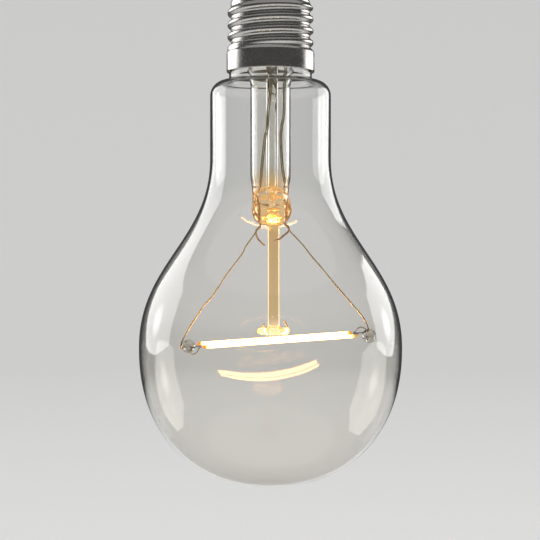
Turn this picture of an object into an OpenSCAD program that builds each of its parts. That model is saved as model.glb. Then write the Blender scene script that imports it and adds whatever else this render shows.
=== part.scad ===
// Clear glass lamp with one straight LED filament and a screw cap, cap up and globe down.
// Z = 0 is the flat face of the centre contact. The lamp hangs below it, in millimetres.

/* [Screw cap] */
// Height of the cap from its rim to the contact face
cap_h = 27; // [26:0.1:32.4]
// Outer radius of the plain collar under the thread
collar_r = 13.4; // [13.3:0.1:16.1]
// Height of the plain collar
collar_h = 6; // [4:0.2:7.5]
// Thickness of the cap's sheet metal
cap_wall = 0.3; // [0.25:0.05:0.36]
// Radius over the crests of the thread
thread_major_r = 13.15; // [13.02:0.01:13.2]
// Radius in the roots of the thread
thread_minor_r = 12.05; // [11.95:0.01:12.15]
// Distance from crest to crest along the axis
thread_pitch = 3.629; // [3:0.001:4.4]
// Radius of the rolled lip that holds the insulator
lip_r = 1.2; // [1:0.1:1.5]
// Height of the insulator's cone and the contact above the lip
insulator_h = 4.9; // [4.4:0.1:6]
// Radius of the centre contact's head
contact_r = 4.8; // [4:0.1:5.8]
// Thickness of the centre contact's head
contact_t = 1.3; // [1:0.1:1.6]
// Radius of the centre contact's shank
shank_r = 1.5; // [1.2:0.1:1.8]

/* [Glass bulb] */
// Radius of the globe at its widest
globe_r = 40; // [33:0.5:48]
// Distance from the cap's rim down to the widest circle
globe_drop = 83.8; // [83:0.1:103]
// Depth of the bowl below the widest circle
globe_depth = 42.3; // [34:0.1:49]
// Fullness of the bowl, 2 being an ellipse
bowl_power = 2.2; // [2:0.05:2.6]
// Outer radius of the wide neck
neck_r = 18.4; // [17.8:0.1:22.1]
// Distance from the cap's rim down to where the neck starts to swell
swell_drop = 26.5; // [22:0.5:32]
// Length of the curve's upright run out of the globe
globe_pull = 25.6; // [22:0.1:33]
// Length of the curve's upright run out of the neck
neck_pull = 24.7; // [20:0.1:30]
// Radius of the shoulder between the wide neck and the seal
shoulder_r = 4.6; // [3.8:0.1:5]
// Distance from the cap's rim down to the top of the shoulder
shoulder_drop = 2.7; // [2.4:0.1:4]
// Thickness of the blown glass
glass_wall = 0.7; // [0.5:0.05:0.9]

/* [Stem] */
// Outer radius of the stem tube
stem_r = 6.13; // [5.9:0.01:7.4]
// Thickness of the stem tube's wall
stem_wall = 0.9; // [0.7:0.05:1.1]
// Bend radius of the flare
flare_bend_r = 8; // [6.6:0.1:9.6]
// Distance from the cap's rim down to where the flare starts
flare_drop = 4.2; // [3.8:0.1:5]
// Distance from the cap's rim down to the top of the press
press_drop = 36.2; // [30:0.2:44]
// Half the width of the press
press_r = 6.1; // [6:0.05:7.4]
// Height of the press
press_h = 10.4; // [8.6:0.1:12.5]
// Thickness of the pinched part of the press
press_t = 6.6; // [5.6:0.1:8]
// Radius of the exhaust tube
exhaust_r = 1.83; // [1.5:0.01:2.1]
// Radius of the bore in the exhaust tube
exhaust_bore_r = 1; // [0.8:0.05:1.2]
// Sideways place of the exhaust tube
exhaust_x = 0.5; // [0.3:0.05:0.7]
// Distance from the contact face down to the sealed tip of the exhaust tube
exhaust_tip_drop = 15; // [12.5:0.5:18]
// Radius of the solid glass rod
rod_r = 1.83; // [1.5:0.01:2]
// Length of the solid glass rod
rod_l = 31.2; // [26:0.1:38]
// Sideways place of the rod
rod_x = 0.95; // [0.5:0.05:1]
// Radius of the glass button on the rod's end
button_r = 5.05; // [4.6:0.05:6.1]
// Thickness of the glass button
button_t = 2.2; // [1.8:0.1:2.7]

/* [Filament] */
// Length of the ceramic strip
strip_l = 49.8; // [48:0.1:60]
// Width of the ceramic strip
strip_w = 1.7; // [1.4:0.1:1.9]
// Thickness of the ceramic strip
strip_t = 0.4; // [0.3:0.05:0.5]
// Length of each phosphor coat
coat_l = 47.6; // [40:0.1:47.8]
// Half the width of each phosphor coat
coat_r = 1; // [0.96:0.02:1.2]
// How far the two coats are shifted against each other
coat_shift = 1.6; // [1:0.1:2]
// Height of each phosphor coat
coat_h = 0.9; // [0.75:0.05:1]
// Sideways place of the filament's middle
filament_x = 2.07; // [1.5:0.01:2.5]
// Slope of the filament in degrees, right end up
filament_tilt = 4.1; // [3:0.1:5]
// Gap between the filament and the glass button
filament_gap = 0.25; // [0.2:0.01:1]
// Number of light-emitting chips
chip_count = 28; // [20:1:32]
// Distance from chip to chip
chip_pitch = 1.6; // [1.2:0.05:1.65]
// Radius of the glass beads
bead_r = 2.25; // [1.9:0.05:2.7]

/* [Wires] */
// Radius of the wires sealed in the press
seal_wire_r = 0.3; // [0.25:0.01:0.36]
// Radius of the wires from the press to the beads
lead_r = 0.25; // [0.2:0.01:0.3]
// Radius of the thin wires at the filament's ends
pigtail_r = 0.17; // [0.14:0.01:0.2]
// Radius of each strand of the wires in the stem
strand_r = 0.22; // [0.18:0.01:0.23]
// Radius of the wires in the cap
hookup_r = 0.17; // [0.14:0.01:0.2]

/* [Driver] */
// Width of the driver board
board_w = 14; // [12:0.2:15]
// Height of the driver board
board_h = 13.6; // [12:0.1:14]
// Thickness of the driver board
board_t = 1; // [0.8:0.1:1.2]
// Distance of the board's front from the lamp's axis
board_y = 3.9; // [3.9:0.05:4.6]
// Radius of the smoothing capacitor
capacitor_r = 2.4; // [2:0.05:2.5]
// Height of the smoothing capacitor
capacitor_h = 7; // [5.8:0.1:8]

/* [Clearances] */
// Width of the cement ring between glass and cap
cement_gap = 0.5; // [0.45:0.05:0.6]
// Clearance of glass around a wire, and of a seat around its piece
seat_gap = 0.02; // [0.01:0.01:0.05]
// Clearance between pieces that are only pushed together
loose_gap = 0.1; // [0.05:0.01:0.15]

/* [Hidden] */

$fn = 64;
clear_glass = [0.8, 0.9, 0.95, 0.3];
nickel = [0.75, 0.74, 0.71];
copper = [0.78, 0.5, 0.3];
tinned = [0.7, 0.7, 0.68];

// Heights, all measured from the contact face
rim_z = -cap_h;
collar_top_z = rim_z + collar_h;
lip_top_z = -insulator_h;
thread_top_z = lip_top_z - lip_r;
globe_z = rim_z - globe_drop;
swell_z = rim_z - swell_drop;
shoulder_z = rim_z - shoulder_drop;
flare_z = rim_z - flare_drop;
press_z = rim_z - press_drop;
press_bottom_z = press_z - press_h;
button_z = press_bottom_z - rod_l;
button_bottom_z = button_z - button_t;

// The glass seal inside the collar
collar_inner_r = collar_r - cap_wall;
seal_r = collar_inner_r - cement_gap;
seal_inner_r = seal_r - glass_wall;
flare_x = stem_r + flare_bend_r;
flare_angle = acos((flare_x - seal_inner_r) / flare_bend_r);
seal_z = flare_z + flare_bend_r * sin(flare_angle);
flare_back_r = flare_bend_r + stem_wall;
flare_top_z = flare_z + flare_back_r * sin(flare_angle);
seal_fillet_r = 1.2;

// The press and what passes through it
joint_r = stem_r - 0.53;
waist_r = stem_r - 0.68;
waist_drop = 1.4;
press_wide_drop = press_h / 2;
press_foot_r = max(2.9, rod_x + rod_r + 0.1);
press_foot_y = max(2.2, rod_r + 0.2);
exhaust_hole_z = press_z - 4.1;
exhaust_hole_r = 0.9;
seal_left_x = -3.1;
seal_right_x = 4.4;
wire_pair_y = seal_wire_r + lead_r + 0.07;
seal_top_z = press_z + 2.3;

// The filament in its own frame: X along the strip, Z up through it
filament_z = button_bottom_z - filament_gap - strip_t / 2 - coat_h
    - tan(filament_tilt) * (rod_x + button_r - filament_x);
strip_end = strip_l / 2;
tab_w = 1.2;
tab_t = 0.25;
tab_left_in = -coat_l / 2 + coat_shift / 2 - 0.25;
tab_right_in = coat_l / 2 - coat_shift / 2 + 0.35;
bead_left_local = -strip_end - bead_r - 0.03;
bead_right_local = strip_end + bead_r + 0.85;
bead_right_lower = 0.75;
chip_l = 0.7;
chip_w = 0.4;
chip_t = 0.15;

function on_filament(x, z = 0) = [
    filament_x + x * cos(filament_tilt) - z * sin(filament_tilt),
    0,
    filament_z + x * sin(filament_tilt) + z * cos(filament_tilt)];

bead_left_at = on_filament(bead_left_local);
bead_right_at = on_filament(bead_right_local, -bead_right_lower);

// Short outlines and routes
function arc(centre, r, from, to, steps) =
    [for (i = [0:steps]) let (a = from + (to - from) * i / steps)
        centre + r * [cos(a), sin(a)]];
function bezier(a, b, c, d, steps) =
    [for (i = [1:steps]) let (t = i / steps, u = 1 - t)
        u * u * u * a + 3 * u * u * t * b + 3 * u * t * t * c + t * t * t * d];
function bowl(r, depth, steps) =
    [for (i = [steps:-1:0]) let (a = 90 * i / steps)
        [r * pow(cos(a), 2 / bowl_power), globe_z - depth * pow(sin(a), 2 / bowl_power)]];
function reversed(list) = [for (i = [len(list) - 1:-1:0]) list[i]];
function unit(v) = v / norm(v);

// One side of the bulb's wall, inset from the outside by w
function bulb_side(w) = concat(
    bowl(globe_r - w, globe_depth - w, 20),
    bezier([globe_r - w, globe_z], [globe_r - w, globe_z + globe_pull],
        [neck_r - w, swell_z - neck_pull], [neck_r - w, swell_z], 22),
    arc([neck_r - shoulder_r, shoulder_z - shoulder_r], shoulder_r - w, 0, 90, 8),
    arc([seal_r + seal_fillet_r, shoulder_z + seal_fillet_r], seal_fillet_r + w, 270, 180, 5),
    [[seal_r - w, seal_z]]);

// A smooth route through points chosen by hand
function spline_at(p, i, t) = let (
    n = len(p) - 1,
    a = p[max(i - 1, 0)], b = p[i], c = p[i + 1], d = p[min(i + 2, n)])
    0.5 * ((2 * b) + (c - a) * t + (2 * a - 5 * b + 4 * c - d) * t * t
        + (3 * b - a - 3 * c + d) * t * t * t);
function smooth(p, steps) = concat(
    [for (i = [0:len(p) - 2], s = [0:steps - 1]) spline_at(p, i, s / steps)], [p[len(p) - 1]]);

// A run from a to b with kinks, each [share of the way, sideways, towards the back]
function kinked(a, b, kinks) = let (along = b - a, side = unit([-along.z, 0, along.x]))
    concat([a], [for (k = kinks) a + along * k[0] + side * k[1] + [0, k[2], 0]], [b]);

function tangent(p, i) = unit(
    (i == 0 ? [0, 0, 0] : unit(p[i] - p[i - 1]))
    + (i == len(p) - 1 ? [0, 0, 0] : unit(p[i + 1] - p[i])));
function ring(centre, along, side, r, n) = let (a = unit(cross(along, side)), b = cross(along, a))
    [for (k = [0:n - 1]) centre + r * (cos(360 * k / n) * a + sin(360 * k / n) * b)];

// A wire of radius r along a route that never runs parallel to side
module wire(route, r, side = [0, 1, 0]) {
    n = 8;
    last = len(route) - 1;
    points = [for (i = [0:last]) each ring(route[i], tangent(route, i), side, r, n)];
    ends = [[for (k = [0:n - 1]) k], [for (k = [n - 1:-1:0]) last * n + k]];
    walls = [for (i = [0:last - 1], k = [0:n - 1]) let (
        a = i * n + k, b = i * n + (k + 1) % n, c = a + n, d = b + n)
        each [[a, c, b], [b, c, d]]];
    polyhedron(points = points, faces = concat(ends, walls));
}

// A straight round bar or bore from a to b
module bar(a, b, r) {
    v = b - a;
    translate(a) rotate([0, acos(v.z / norm(v)), atan2(v.y, v.x)]) cylinder(h = norm(v), r = r);
}

// Places its children in the filament's own frame
module filament_frame() {
    translate([filament_x, 0, filament_z]) rotate([0, -filament_tilt, 0]) children();
}

module glass_bulb() {
    color(clear_glass)
        rotate_extrude() polygon(concat(bulb_side(0), reversed(bulb_side(glass_wall))));
}

// The stem tube opens upwards in a flare whose rim lies on the neck's end
module stem_tube() {
    narrow_from = 2.4;
    outside = concat(
        [for (i = [0:6]) let (s = i / 6)
            [joint_r + (stem_r - joint_r) * (1 - cos(180 * s)) / 2, press_z + narrow_from * s]],
        arc([flare_x, flare_z], flare_bend_r, 180, 180 - flare_angle, 14),
        [[seal_r, seal_z]]);
    inside = concat(
        [[joint_r - stem_wall + 0.25, press_z], [stem_r - stem_wall, press_z + narrow_from]],
        arc([flare_x, flare_z], flare_back_r, 180, 180 - flare_angle, 14),
        [[seal_r, flare_top_z]]);
    color(clear_glass) rotate_extrude() polygon(concat(outside, reversed(inside)));
}

function seal_left(z) = [seal_left_x, 0, z];
function seal_right(z) = [seal_right_x, 0, z];

// The press is the stem's end, pinched flat round its wires
module stem_press() {
    wide_z = press_z - press_wide_drop;
    low_h = press_h - press_wide_drop;
    front = concat(
        [[0, press_z], [joint_r, press_z]],
        [for (i = [0:4]) let (s = i / 4)
            [joint_r + (waist_r - joint_r) * (1 - cos(180 * s)) / 2, press_z - waist_drop * s]],
        [for (i = [1:8]) let (s = i / 8)
            [waist_r + (press_r - waist_r) * (1 - cos(180 * s)) / 2,
                press_z - waist_drop - (press_wide_drop - waist_drop) * s]],
        [for (i = [1:10]) let (a = 90 * i / 10)
            [press_foot_r + (press_r - press_foot_r) * cos(a), wide_z - low_h * sin(a)]],
        [[0, press_bottom_z]]);
    seam_turn = 40; // keeps the revolve's seam clear of the bores
    pinch_y = press_t / 2;
    pinch_drop = 4.5;
    top_y = joint_r + 0.2;
    foot_round_h = 2.4;
    back = concat(
        [for (i = [0:8]) let (s = i / 8)
            [pinch_y + (top_y - pinch_y) * (1 + cos(180 * s)) / 2, press_z - pinch_drop * s]],
        [for (i = [0:6]) let (a = 90 * i / 6)
            [press_foot_y + (pinch_y - press_foot_y) * cos(a),
                press_bottom_z + foot_round_h * (1 - sin(a))]]);
    both_sides = concat(back, [for (p = reversed(back)) [-p.x, p.y]]);
    color(clear_glass) difference() {
        intersection() {
            rotate([0, 0, seam_turn]) rotate_extrude() polygon(front);
            rotate([90, 0, 90]) translate([0, 0, -stem_r - press_r])
                linear_extrude(2 * (stem_r + press_r)) polygon(both_sides);
        }
        bar(seal_left(press_z + 1), seal_left(press_bottom_z - 1), seal_wire_r + seat_gap);
        bar(seal_right(press_z + 1), seal_right(press_bottom_z - 1), seal_wire_r + seat_gap);
        translate([exhaust_x, 0, exhaust_hole_z]) {
            cylinder(h = press_h, r = exhaust_bore_r);
            sphere(exhaust_bore_r);
            rotate([90, 0, 0]) cylinder(h = stem_r + press_r, r = exhaust_hole_r);
        }
    }
}

// The exhaust tube is melted shut above the flare
module exhaust_tube() {
    tip_z = -exhaust_tip_drop;
    tip_r = 0.6;
    taper_z = tip_z - 2.6;
    bore_top_z = tip_z - 2.2;
    bore_taper_z = taper_z - 0.6;
    color(clear_glass) translate([exhaust_x, 0, 0]) rotate_extrude() polygon(concat(
        [[exhaust_bore_r, press_z], [exhaust_r, press_z], [exhaust_r, taper_z]],
        arc([0, tip_z - tip_r], tip_r, 20, 90, 5),
        [[0, bore_top_z], [exhaust_bore_r, bore_taper_z]]));
}

module support_rod() {
    color(clear_glass) translate([rod_x, 0, button_z]) cylinder(h = rod_l, r = rod_r);
}

// Ends of the two wires that are melted into the button
support_left = [[rod_x - button_r * 0.84, 0, button_z - 1.1], [rod_x - 2.8, 0, button_z + 1.1]];
support_right = [[rod_x + button_r * 0.9, 0, button_z - 1.2], [rod_x + 3.2, 0, button_z + 2.1]];
support_wire_r = 0.22;

module rod_button() {
    round_r = button_t / 2;
    color(clear_glass) difference() {
        translate([rod_x, 0, button_z - round_r]) rotate_extrude() union() {
            translate([0, -round_r]) square([button_r - round_r, button_t]);
            intersection() {
                translate([button_r - round_r, 0]) circle(round_r);
                translate([0, -round_r]) square([button_r, button_t]);
            }
        }
        bar(support_left[0], support_left[1], support_wire_r + seat_gap);
        bar(support_right[0], support_right[1], support_wire_r + seat_gap);
    }
}

module support_wires() {
    color(nickel) for (w = [support_left, support_right]) bar(w[0], w[1], support_wire_r);
}

// Each seal wire runs through the press and ends in a short bent tail
seal_left_tail = [[-1.2, 0.1, -1.3], [-1.3, 0.4, -2.4], [-0.8, 0.9, -4],
    [0.4, 1.3, -5.4], [1.3, 1.5, -6.1]];
seal_right_tail = [[0.85, 0, -1.1], [1.3, -0.2, -2], [0.85, -0.8, -2.9],
    [-0.45, -1.7, -4], [-1.65, -2.4, -5], [-3.05, -2.75, -5.6]];

module seal_wire_left() {
    out = seal_left(press_bottom_z - 0.2);
    color(copper) wire(concat([seal_left(seal_top_z), out], [for (p = seal_left_tail) out + p]),
        seal_wire_r);
}

module seal_wire_right() {
    out = seal_right(press_bottom_z + 0.6);
    color(copper) wire(concat([seal_right(seal_top_z), out], [for (p = seal_right_tail) out + p]),
        seal_wire_r);
}

// The lead wires are welded beside the seal wires and end in the beads
lead_left_start = seal_left(press_bottom_z - 0.2) + [-0.25, -wire_pair_y, -0.15];
lead_left_on_bead = bead_left_at + bead_r * [-0.95, 0, 0.55];
lead_left_end = bead_left_at + bead_r * [-1.1, 0, -0.33];
lead_left_kinks = [[0.073, 0.2, 0], [0.195, 0, 0.1], [0.222, 0.45, 0.1], [0.318, 0.27, 0.1],
    [0.437, -0.06, 0.3], [0.507, 0.08, 0.4], [0.627, 0, 0.3], [0.7, -0.56, 0.3],
    [0.872, -0.47, 0.1], [0.944, -0.24, 0]];

lead_right_start = seal_right(press_bottom_z + 0.6) + [0.4, wire_pair_y, -0.3];
lead_right_on_bead = bead_right_at + bead_r * [-0.1, 0, 1.19];
lead_right_end = bead_right_at + bead_r * [-0.04, 0, 0.4];
lead_right_kinks = [[0.053, -0.57, 0], [0.198, -0.07, 0], [0.318, -0.16, -0.2],
    [0.436, 0.04, -0.3], [0.595, 0.08, -0.2], [0.764, 0.4, -0.1], [0.927, 0.61, 0]];

module lead_wire_left() {
    color(nickel) wire(concat(kinked(lead_left_start, lead_left_on_bead, lead_left_kinks),
        [lead_left_end]), lead_r);
}

module lead_wire_right() {
    color(nickel) wire(concat(kinked(lead_right_start, lead_right_on_bead, lead_right_kinks),
        [lead_right_end]), lead_r);
}

// The thin wires that carry the current on from the beads to the filament's tabs
pigtail_left_root = bead_left_at + bead_r * [0.36, -0.46, 0.05];
pigtail_left_exit = bead_left_at + bead_r * [0.42, -0.5, -0.9];
pigtail_left_weld = on_filament(tab_left_in - 0.5, -strip_t / 2 - tab_t - pigtail_r - 0.1);
pigtail_right_root = bead_right_at + bead_r * [-0.15, -0.4, 0.5];
pigtail_right_exit = bead_right_at + bead_r * [-0.52, -0.5, 0.95];
pigtail_right_weld = on_filament(tab_right_in + 0.5, strip_t / 2 + tab_t + pigtail_r + 0.06);

module pigtail_left() {
    color(copper) wire(concat([pigtail_left_root], smooth([pigtail_left_exit,
        pigtail_left_exit + [0.35, -0.1, -0.35],
        pigtail_left_weld + [-1.1, -0.6, -1.55],
        pigtail_left_weld + [-0.5, -0.25, -0.6],
        pigtail_left_weld, pigtail_left_weld + [0.45, 0, 0.03]], 3)), pigtail_r);
}

module pigtail_right() {
    color(copper) wire(concat([pigtail_right_root], smooth([pigtail_right_exit,
        pigtail_right_exit + [-0.45, -0.1, 0.25],
        pigtail_right_weld + [1.5, -0.6, 1.5],
        pigtail_right_weld + [0.5, -0.25, 0.75],
        pigtail_right_weld, pigtail_right_weld + [-0.45, 0, -0.03]], 3)), pigtail_r);
}

module tab_slot(gap) {
    filament_frame() translate([-strip_end - bead_r, -tab_w / 2 - gap, -strip_t / 2 - tab_t - gap])
        cube([bead_r, tab_w + 2 * gap, tab_t + 2 * gap]);
}

module bead_left() {
    over = lead_left_on_bead - lead_left_end;
    color(clear_glass) difference() {
        translate(bead_left_at) sphere(bead_r);
        bar(lead_left_on_bead + over, lead_left_end - over, lead_r + seat_gap);
        bar(pigtail_left_root, pigtail_left_exit, pigtail_r + seat_gap);
        tab_slot(seat_gap);
    }
}

module bead_right() {
    color(clear_glass) difference() {
        translate(bead_right_at) sphere(bead_r);
        bar(lead_right_end, lead_right_on_bead, lead_r + seat_gap);
        bar(pigtail_right_root, pigtail_right_exit, pigtail_r + seat_gap);
        filament_frame() translate([strip_end, -tab_w / 2 - seat_gap, strip_t / 2 - seat_gap])
            cube([tab_right_out - strip_end + seat_gap, tab_w + 2 * seat_gap, tab_t + 2 * seat_gap]);
    }
}

module filament_strip() {
    color("white") filament_frame()
        translate([-strip_end, -strip_w / 2, -strip_t / 2]) cube([strip_l, strip_w, strip_t]);
}

// Each tab is a metal strip on one face of the ceramic, running on into its bead
tab_left_out = bead_left_local + 0.5;
tab_right_out = bead_right_local - 0.7;

module filament_tab_left() {
    color(tinned) filament_frame()
        translate([tab_left_out, -tab_w / 2, -strip_t / 2 - tab_t])
            cube([tab_left_in - tab_left_out, tab_w, tab_t]);
}

module filament_tab_right() {
    color(tinned) filament_frame()
        translate([tab_right_in, -tab_w / 2, strip_t / 2])
            cube([tab_right_out - tab_right_in, tab_w, tab_t]);
}

module chips(gap) {
    for (i = [0:chip_count - 1])
        translate([(i - (chip_count - 1) / 2) * chip_pitch - chip_l / 2 - gap,
            -chip_w / 2 - gap, strip_t / 2])
            cube([chip_l + 2 * gap, chip_w + 2 * gap, chip_t + gap]);
}

module led_chips() {
    color("gold") filament_frame() chips(0);
}

// Half-round coat with round ends, its flat side down at Z = 0
module coat() {
    end_x = coat_l / 2 - coat_r;
    sink = coat_r - coat_h;
    intersection() {
        translate([0, 0, -sink]) union() {
            translate([-end_x, 0, 0]) rotate([0, 90, 0]) cylinder(h = 2 * end_x, r = coat_r);
            for (x = [-end_x, end_x]) translate([x, 0, 0]) sphere(coat_r);
        }
        translate([-coat_l / 2, -coat_r, 0]) cube([coat_l, 2 * coat_r, coat_h]);
    }
}

module phosphor_upper() {
    color("orange") filament_frame() difference() {
        translate([-coat_shift / 2, 0, strip_t / 2]) coat();
        chips(seat_gap);
    }
}

module phosphor_lower() {
    color("orange") filament_frame()
        translate([coat_shift / 2, 0, -strip_t / 2]) mirror([0, 0, 1]) coat();
}

// The wires in the stem are doubled: two strands that run side by side
strand_x = strand_r + 0.03;
board_top_z = lip_top_z - 3;
board_bottom_z = board_top_z - board_h;
inner_left_route = [seal_left(seal_top_z + 0.12), [-2.9, -0.2, press_z + 3.4],
    [-2.5, -1.4, press_z + 8], [-1.6, -2.6, press_z + 16], [-1, -2.8, press_z + 18.6],
    [-0.6, -2.8, press_z + 25], [0.2, -2.8, flare_z + 0.4], [-0.8, -2.8, flare_z + 4],
    [-2.9, -1.6, flare_z + 7], [-3.6, 1, board_bottom_z + 0.2],
    [-3.4, board_y - strand_r - 0.05, board_bottom_z + 1.4]];
inner_right_route = [seal_right(seal_top_z + 0.12), [4.2, 0, press_z + 3.6],
    [3.6, 0.3, press_z + 8], [3.2, 0.4, press_z + 16], [3.5, 0.3, press_z + 20],
    [4.2, 0.2, press_z + 24], [4.3, 0.2, flare_z + 0.4], [4.8, 0.9, flare_z + 5],
    [4.6, 2, board_bottom_z - 0.4], [4.2, board_y - strand_r - 0.05, board_bottom_z + 1.4]];

module inner_wire(route) {
    p = smooth(route, 2);
    for (s = [-1, 1]) wire([for (i = [0:len(p) - 1])
        p[i] + s * strand_x * unit(cross([0, 1, 0], tangent(p, i)))], strand_r);
}

module inner_wire_left() { color(copper) inner_wire(inner_left_route); }
module inner_wire_right() { color(copper) inner_wire(inner_right_route); }

// Radius of the rolled thread at a share u of one pitch from its crest, in two tangent arcs
thread_half = (thread_major_r - thread_minor_r) / 2;
thread_arc_r = (pow(thread_half, 2) + pow(thread_pitch / 4, 2)) / (2 * thread_half);
function thread_r(u) = let (x = abs(u - round(u)) * thread_pitch)
    x < thread_pitch / 4
        ? thread_major_r - thread_arc_r + sqrt(pow(thread_arc_r, 2) - x * x)
        : thread_minor_r + thread_arc_r
            - sqrt(pow(thread_arc_r, 2) - pow(thread_pitch / 2 - x, 2));
function ease(x) = let (c = min(1, max(0, x))) c * c * (3 - 2 * c);

// Rows of the shell from the collar up, each [height, plain radius, share of the thread]
cap_columns = 32;
rows_per_pitch = 10;
sunk_r = collar_r - 0.15;
top_r = thread_minor_r + 0.1;
thread_z = collar_top_z - 0.3;
row_count = ceil((thread_top_z - thread_z) / (thread_pitch / rows_per_pitch));
function cap_row(i) = let (z = thread_z + (thread_top_z - thread_z) * i / row_count)
    [z, z < (collar_top_z + thread_top_z) / 2 ? sunk_r : top_r,
        ease((z - collar_top_z) / 1.6) * ease((thread_top_z - z) / 1.8)];
function cap_ring(row, inset) = [for (k = [0:cap_columns - 1]) let (
    a = 360 * k / cap_columns,
    wave = thread_r(row[0] / thread_pitch - k / cap_columns),
    r = row[1] + (wave - row[1]) * row[2] - inset)
    [r * cos(a), r * sin(a), row[0]]];
function lip_ring(a, r) = cap_ring([thread_top_z + r * sin(a), top_r - lip_r + r * cos(a), 0], 0);

// The threaded wall is one closed grid: up the outside, round the lip and down the inside
module threaded_wall() {
    lip_steps = 5;
    rings = concat(
        [for (i = [0:row_count]) cap_ring(cap_row(i), 0)],
        [for (i = [1:lip_steps]) lip_ring(90 * i / lip_steps, lip_r)],
        [for (i = [lip_steps:-1:1]) lip_ring(90 * i / lip_steps, lip_r - cap_wall)],
        [for (i = [row_count:-1:0]) cap_ring(cap_row(i), cap_wall)]);
    n = cap_columns;
    polyhedron(points = [for (r = rings) each r],
        faces = [for (j = [0:len(rings) - 1], k = [0:n - 1]) let (
            up = (j + 1) % len(rings),
            a = j * n + k, b = j * n + (k + 1) % n, c = up * n + k, d = up * n + (k + 1) % n)
            each [[a, c, b], [b, c, d]]]);
}

// The collar's rolled bead takes the foot of the threaded wall
module cap_shell() {
    bead_h = 0.7;
    bead_inner_r = collar_r - 0.75;
    color(nickel) union() {
        threaded_wall();
        difference() {
            translate([0, 0, rim_z]) cylinder(h = collar_h, r = collar_r);
            translate([0, 0, rim_z - 1]) cylinder(h = collar_h + 1 - bead_h, r = collar_inner_r);
            translate([0, 0, rim_z]) cylinder(h = collar_h + 1, r = bead_inner_r);
        }
    }
}

wire_notch_w = 0.8;

module cap_cement() {
    low_z = rim_z + 0.15;
    high_z = seal_z - 0.45;
    color("ivory") difference() {
        translate([0, 0, low_z]) cylinder(h = high_z - low_z, r = collar_inner_r - seat_gap);
        translate([0, 0, rim_z - 1]) cylinder(h = cap_h, r = seal_r + seat_gap);
        translate([-wire_notch_w / 2, 0, rim_z - 1]) cube([wire_notch_w, collar_r, cap_h]);
    }
}

// Black insulator, held under the lip, with a cone up to the contact
module cap_insulator() {
    body_r = thread_minor_r - cap_wall - loose_gap;
    mouth_r = top_r - lip_r - loose_gap;
    flange_z = thread_top_z - 0.2;
    bottom_z = thread_top_z - 1.3;
    edge = 0.3;
    cone_top_z = -contact_t;
    cone_top_r = contact_r + 0.7;
    belly = [0.2, 0.45]; // the cone bulges this far past a straight one
    color("dimgray") difference() {
        rotate_extrude() polygon(concat(
            [[0, bottom_z], [body_r - edge, bottom_z], [body_r, bottom_z + edge]],
            [[body_r, flange_z]],
            arc([mouth_r, flange_z], body_r - mouth_r, 0, 90, 5),
            [[mouth_r, lip_top_z], [mouth_r - edge, lip_top_z + edge],
                [mouth_r + cone_top_r, lip_top_z + cone_top_z] / 2 + belly,
                [cone_top_r, cone_top_z], [0, cone_top_z]]));
        translate([0, 0, bottom_z - 1]) cylinder(h = cap_h, r = shank_r + seat_gap);
    }
}

shank_z = thread_top_z - 1.8;

module centre_contact() {
    edge_r = 0.5;
    color(nickel) rotate_extrude() polygon(concat(
        [[0, 0], [0, shank_z], [shank_r, shank_z], [shank_r, -contact_t], [contact_r, -contact_t]],
        arc([contact_r - edge_r, -edge_r], edge_r, 0, 90, 5)));
}

neutral_y = (seal_r + collar_inner_r) / 2;

// Solder pellet under the rim, where the neutral wire comes out beside the glass
module side_solder() {
    pellet_r = (collar_r - seal_r) / 2 - 0.03;
    pellet_l = 1.4;
    color(tinned) difference() {
        translate([0, (collar_r + seal_r) / 2, rim_z]) {
            translate([-pellet_l / 2, 0, 0]) rotate([0, 90, 0]) cylinder(h = pellet_l, r = pellet_r);
            for (s = [-1, 1]) translate([s * pellet_l / 2, 0, 0]) sphere(pellet_r);
        }
        translate([-pellet_l, seal_r - 1, rim_z]) cube([2 * pellet_l, 3, 3]);
        bar([0, neutral_y, rim_z - 0.25], [0, neutral_y, rim_z + 3], hookup_r + seat_gap);
    }
}

module neutral_wire() {
    color(copper) wire(concat(
        [[0, neutral_y, rim_z - 0.24], [0, neutral_y, rim_z + 2]],
        smooth([[0, neutral_y, flare_top_z], [-0.1, neutral_y - 0.6, flare_top_z + 0.5],
            [-0.4, neutral_y - 1.6, flare_top_z + 0.8], [-1, board_y + 4.8, flare_top_z + 1.2],
            [-1.5, board_y + board_t + 0.25, board_bottom_z + 1.2]], 2)), hookup_r, [1, 0, 0]);
}

fuse_x = board_w / 2 - 2.2;
fuse_r = 1.2;
fuse_y = board_y - fuse_r - 0.5;
fuse_low_z = board_bottom_z + 3.6;
fuse_l = 6;
board_leg_r = 0.25;

module live_wire() {
    color(copper) wire(smooth([[fuse_x - 1.6, board_y - hookup_r - 0.05, board_top_z - 0.8],
        [fuse_x - 2, board_y - 0.9, board_top_z - 0.1],
        [fuse_x - 3, board_y - 2, board_top_z + 0.25],
        [0.9, 0.8, board_top_z - 0.4], [0.1, 0.1, board_top_z - 0.6],
        [0, 0, shank_z - 0.03]], 2), hookup_r, [1, -1, 0]);
}

module driver_board() {
    color("seagreen") translate([-board_w / 2, board_y, board_bottom_z])
        cube([board_w, board_t, board_h]);
}

// A box on the back of the board, centred at x and z
module on_board_back(x, z, size) {
    translate([x - size.x / 2, board_y + board_t, z - size.z / 2]) cube(size);
}

// A leg that leaves a part's end along Z by h, then turns back to the board
module bent_leg(from, h) {
    elbow = from + [0, 0, h];
    bar(from, elbow, board_leg_r);
    translate(elbow) sphere(board_leg_r);
    bar(elbow, [elbow.x, board_y, elbow.z], board_leg_r);
}

module bridge_rectifier() {
    x = -3;
    z = board_top_z - 3.4;
    color("dimgray") on_board_back(x, z, [4.7, 1.4, 3.8]);
    color(tinned) for (sx = [-1.25, 1.25], sz = [-1, 1])
        on_board_back(x + sx, z + sz * 2.4, [0.7, 0.2, 1]);
}

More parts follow.
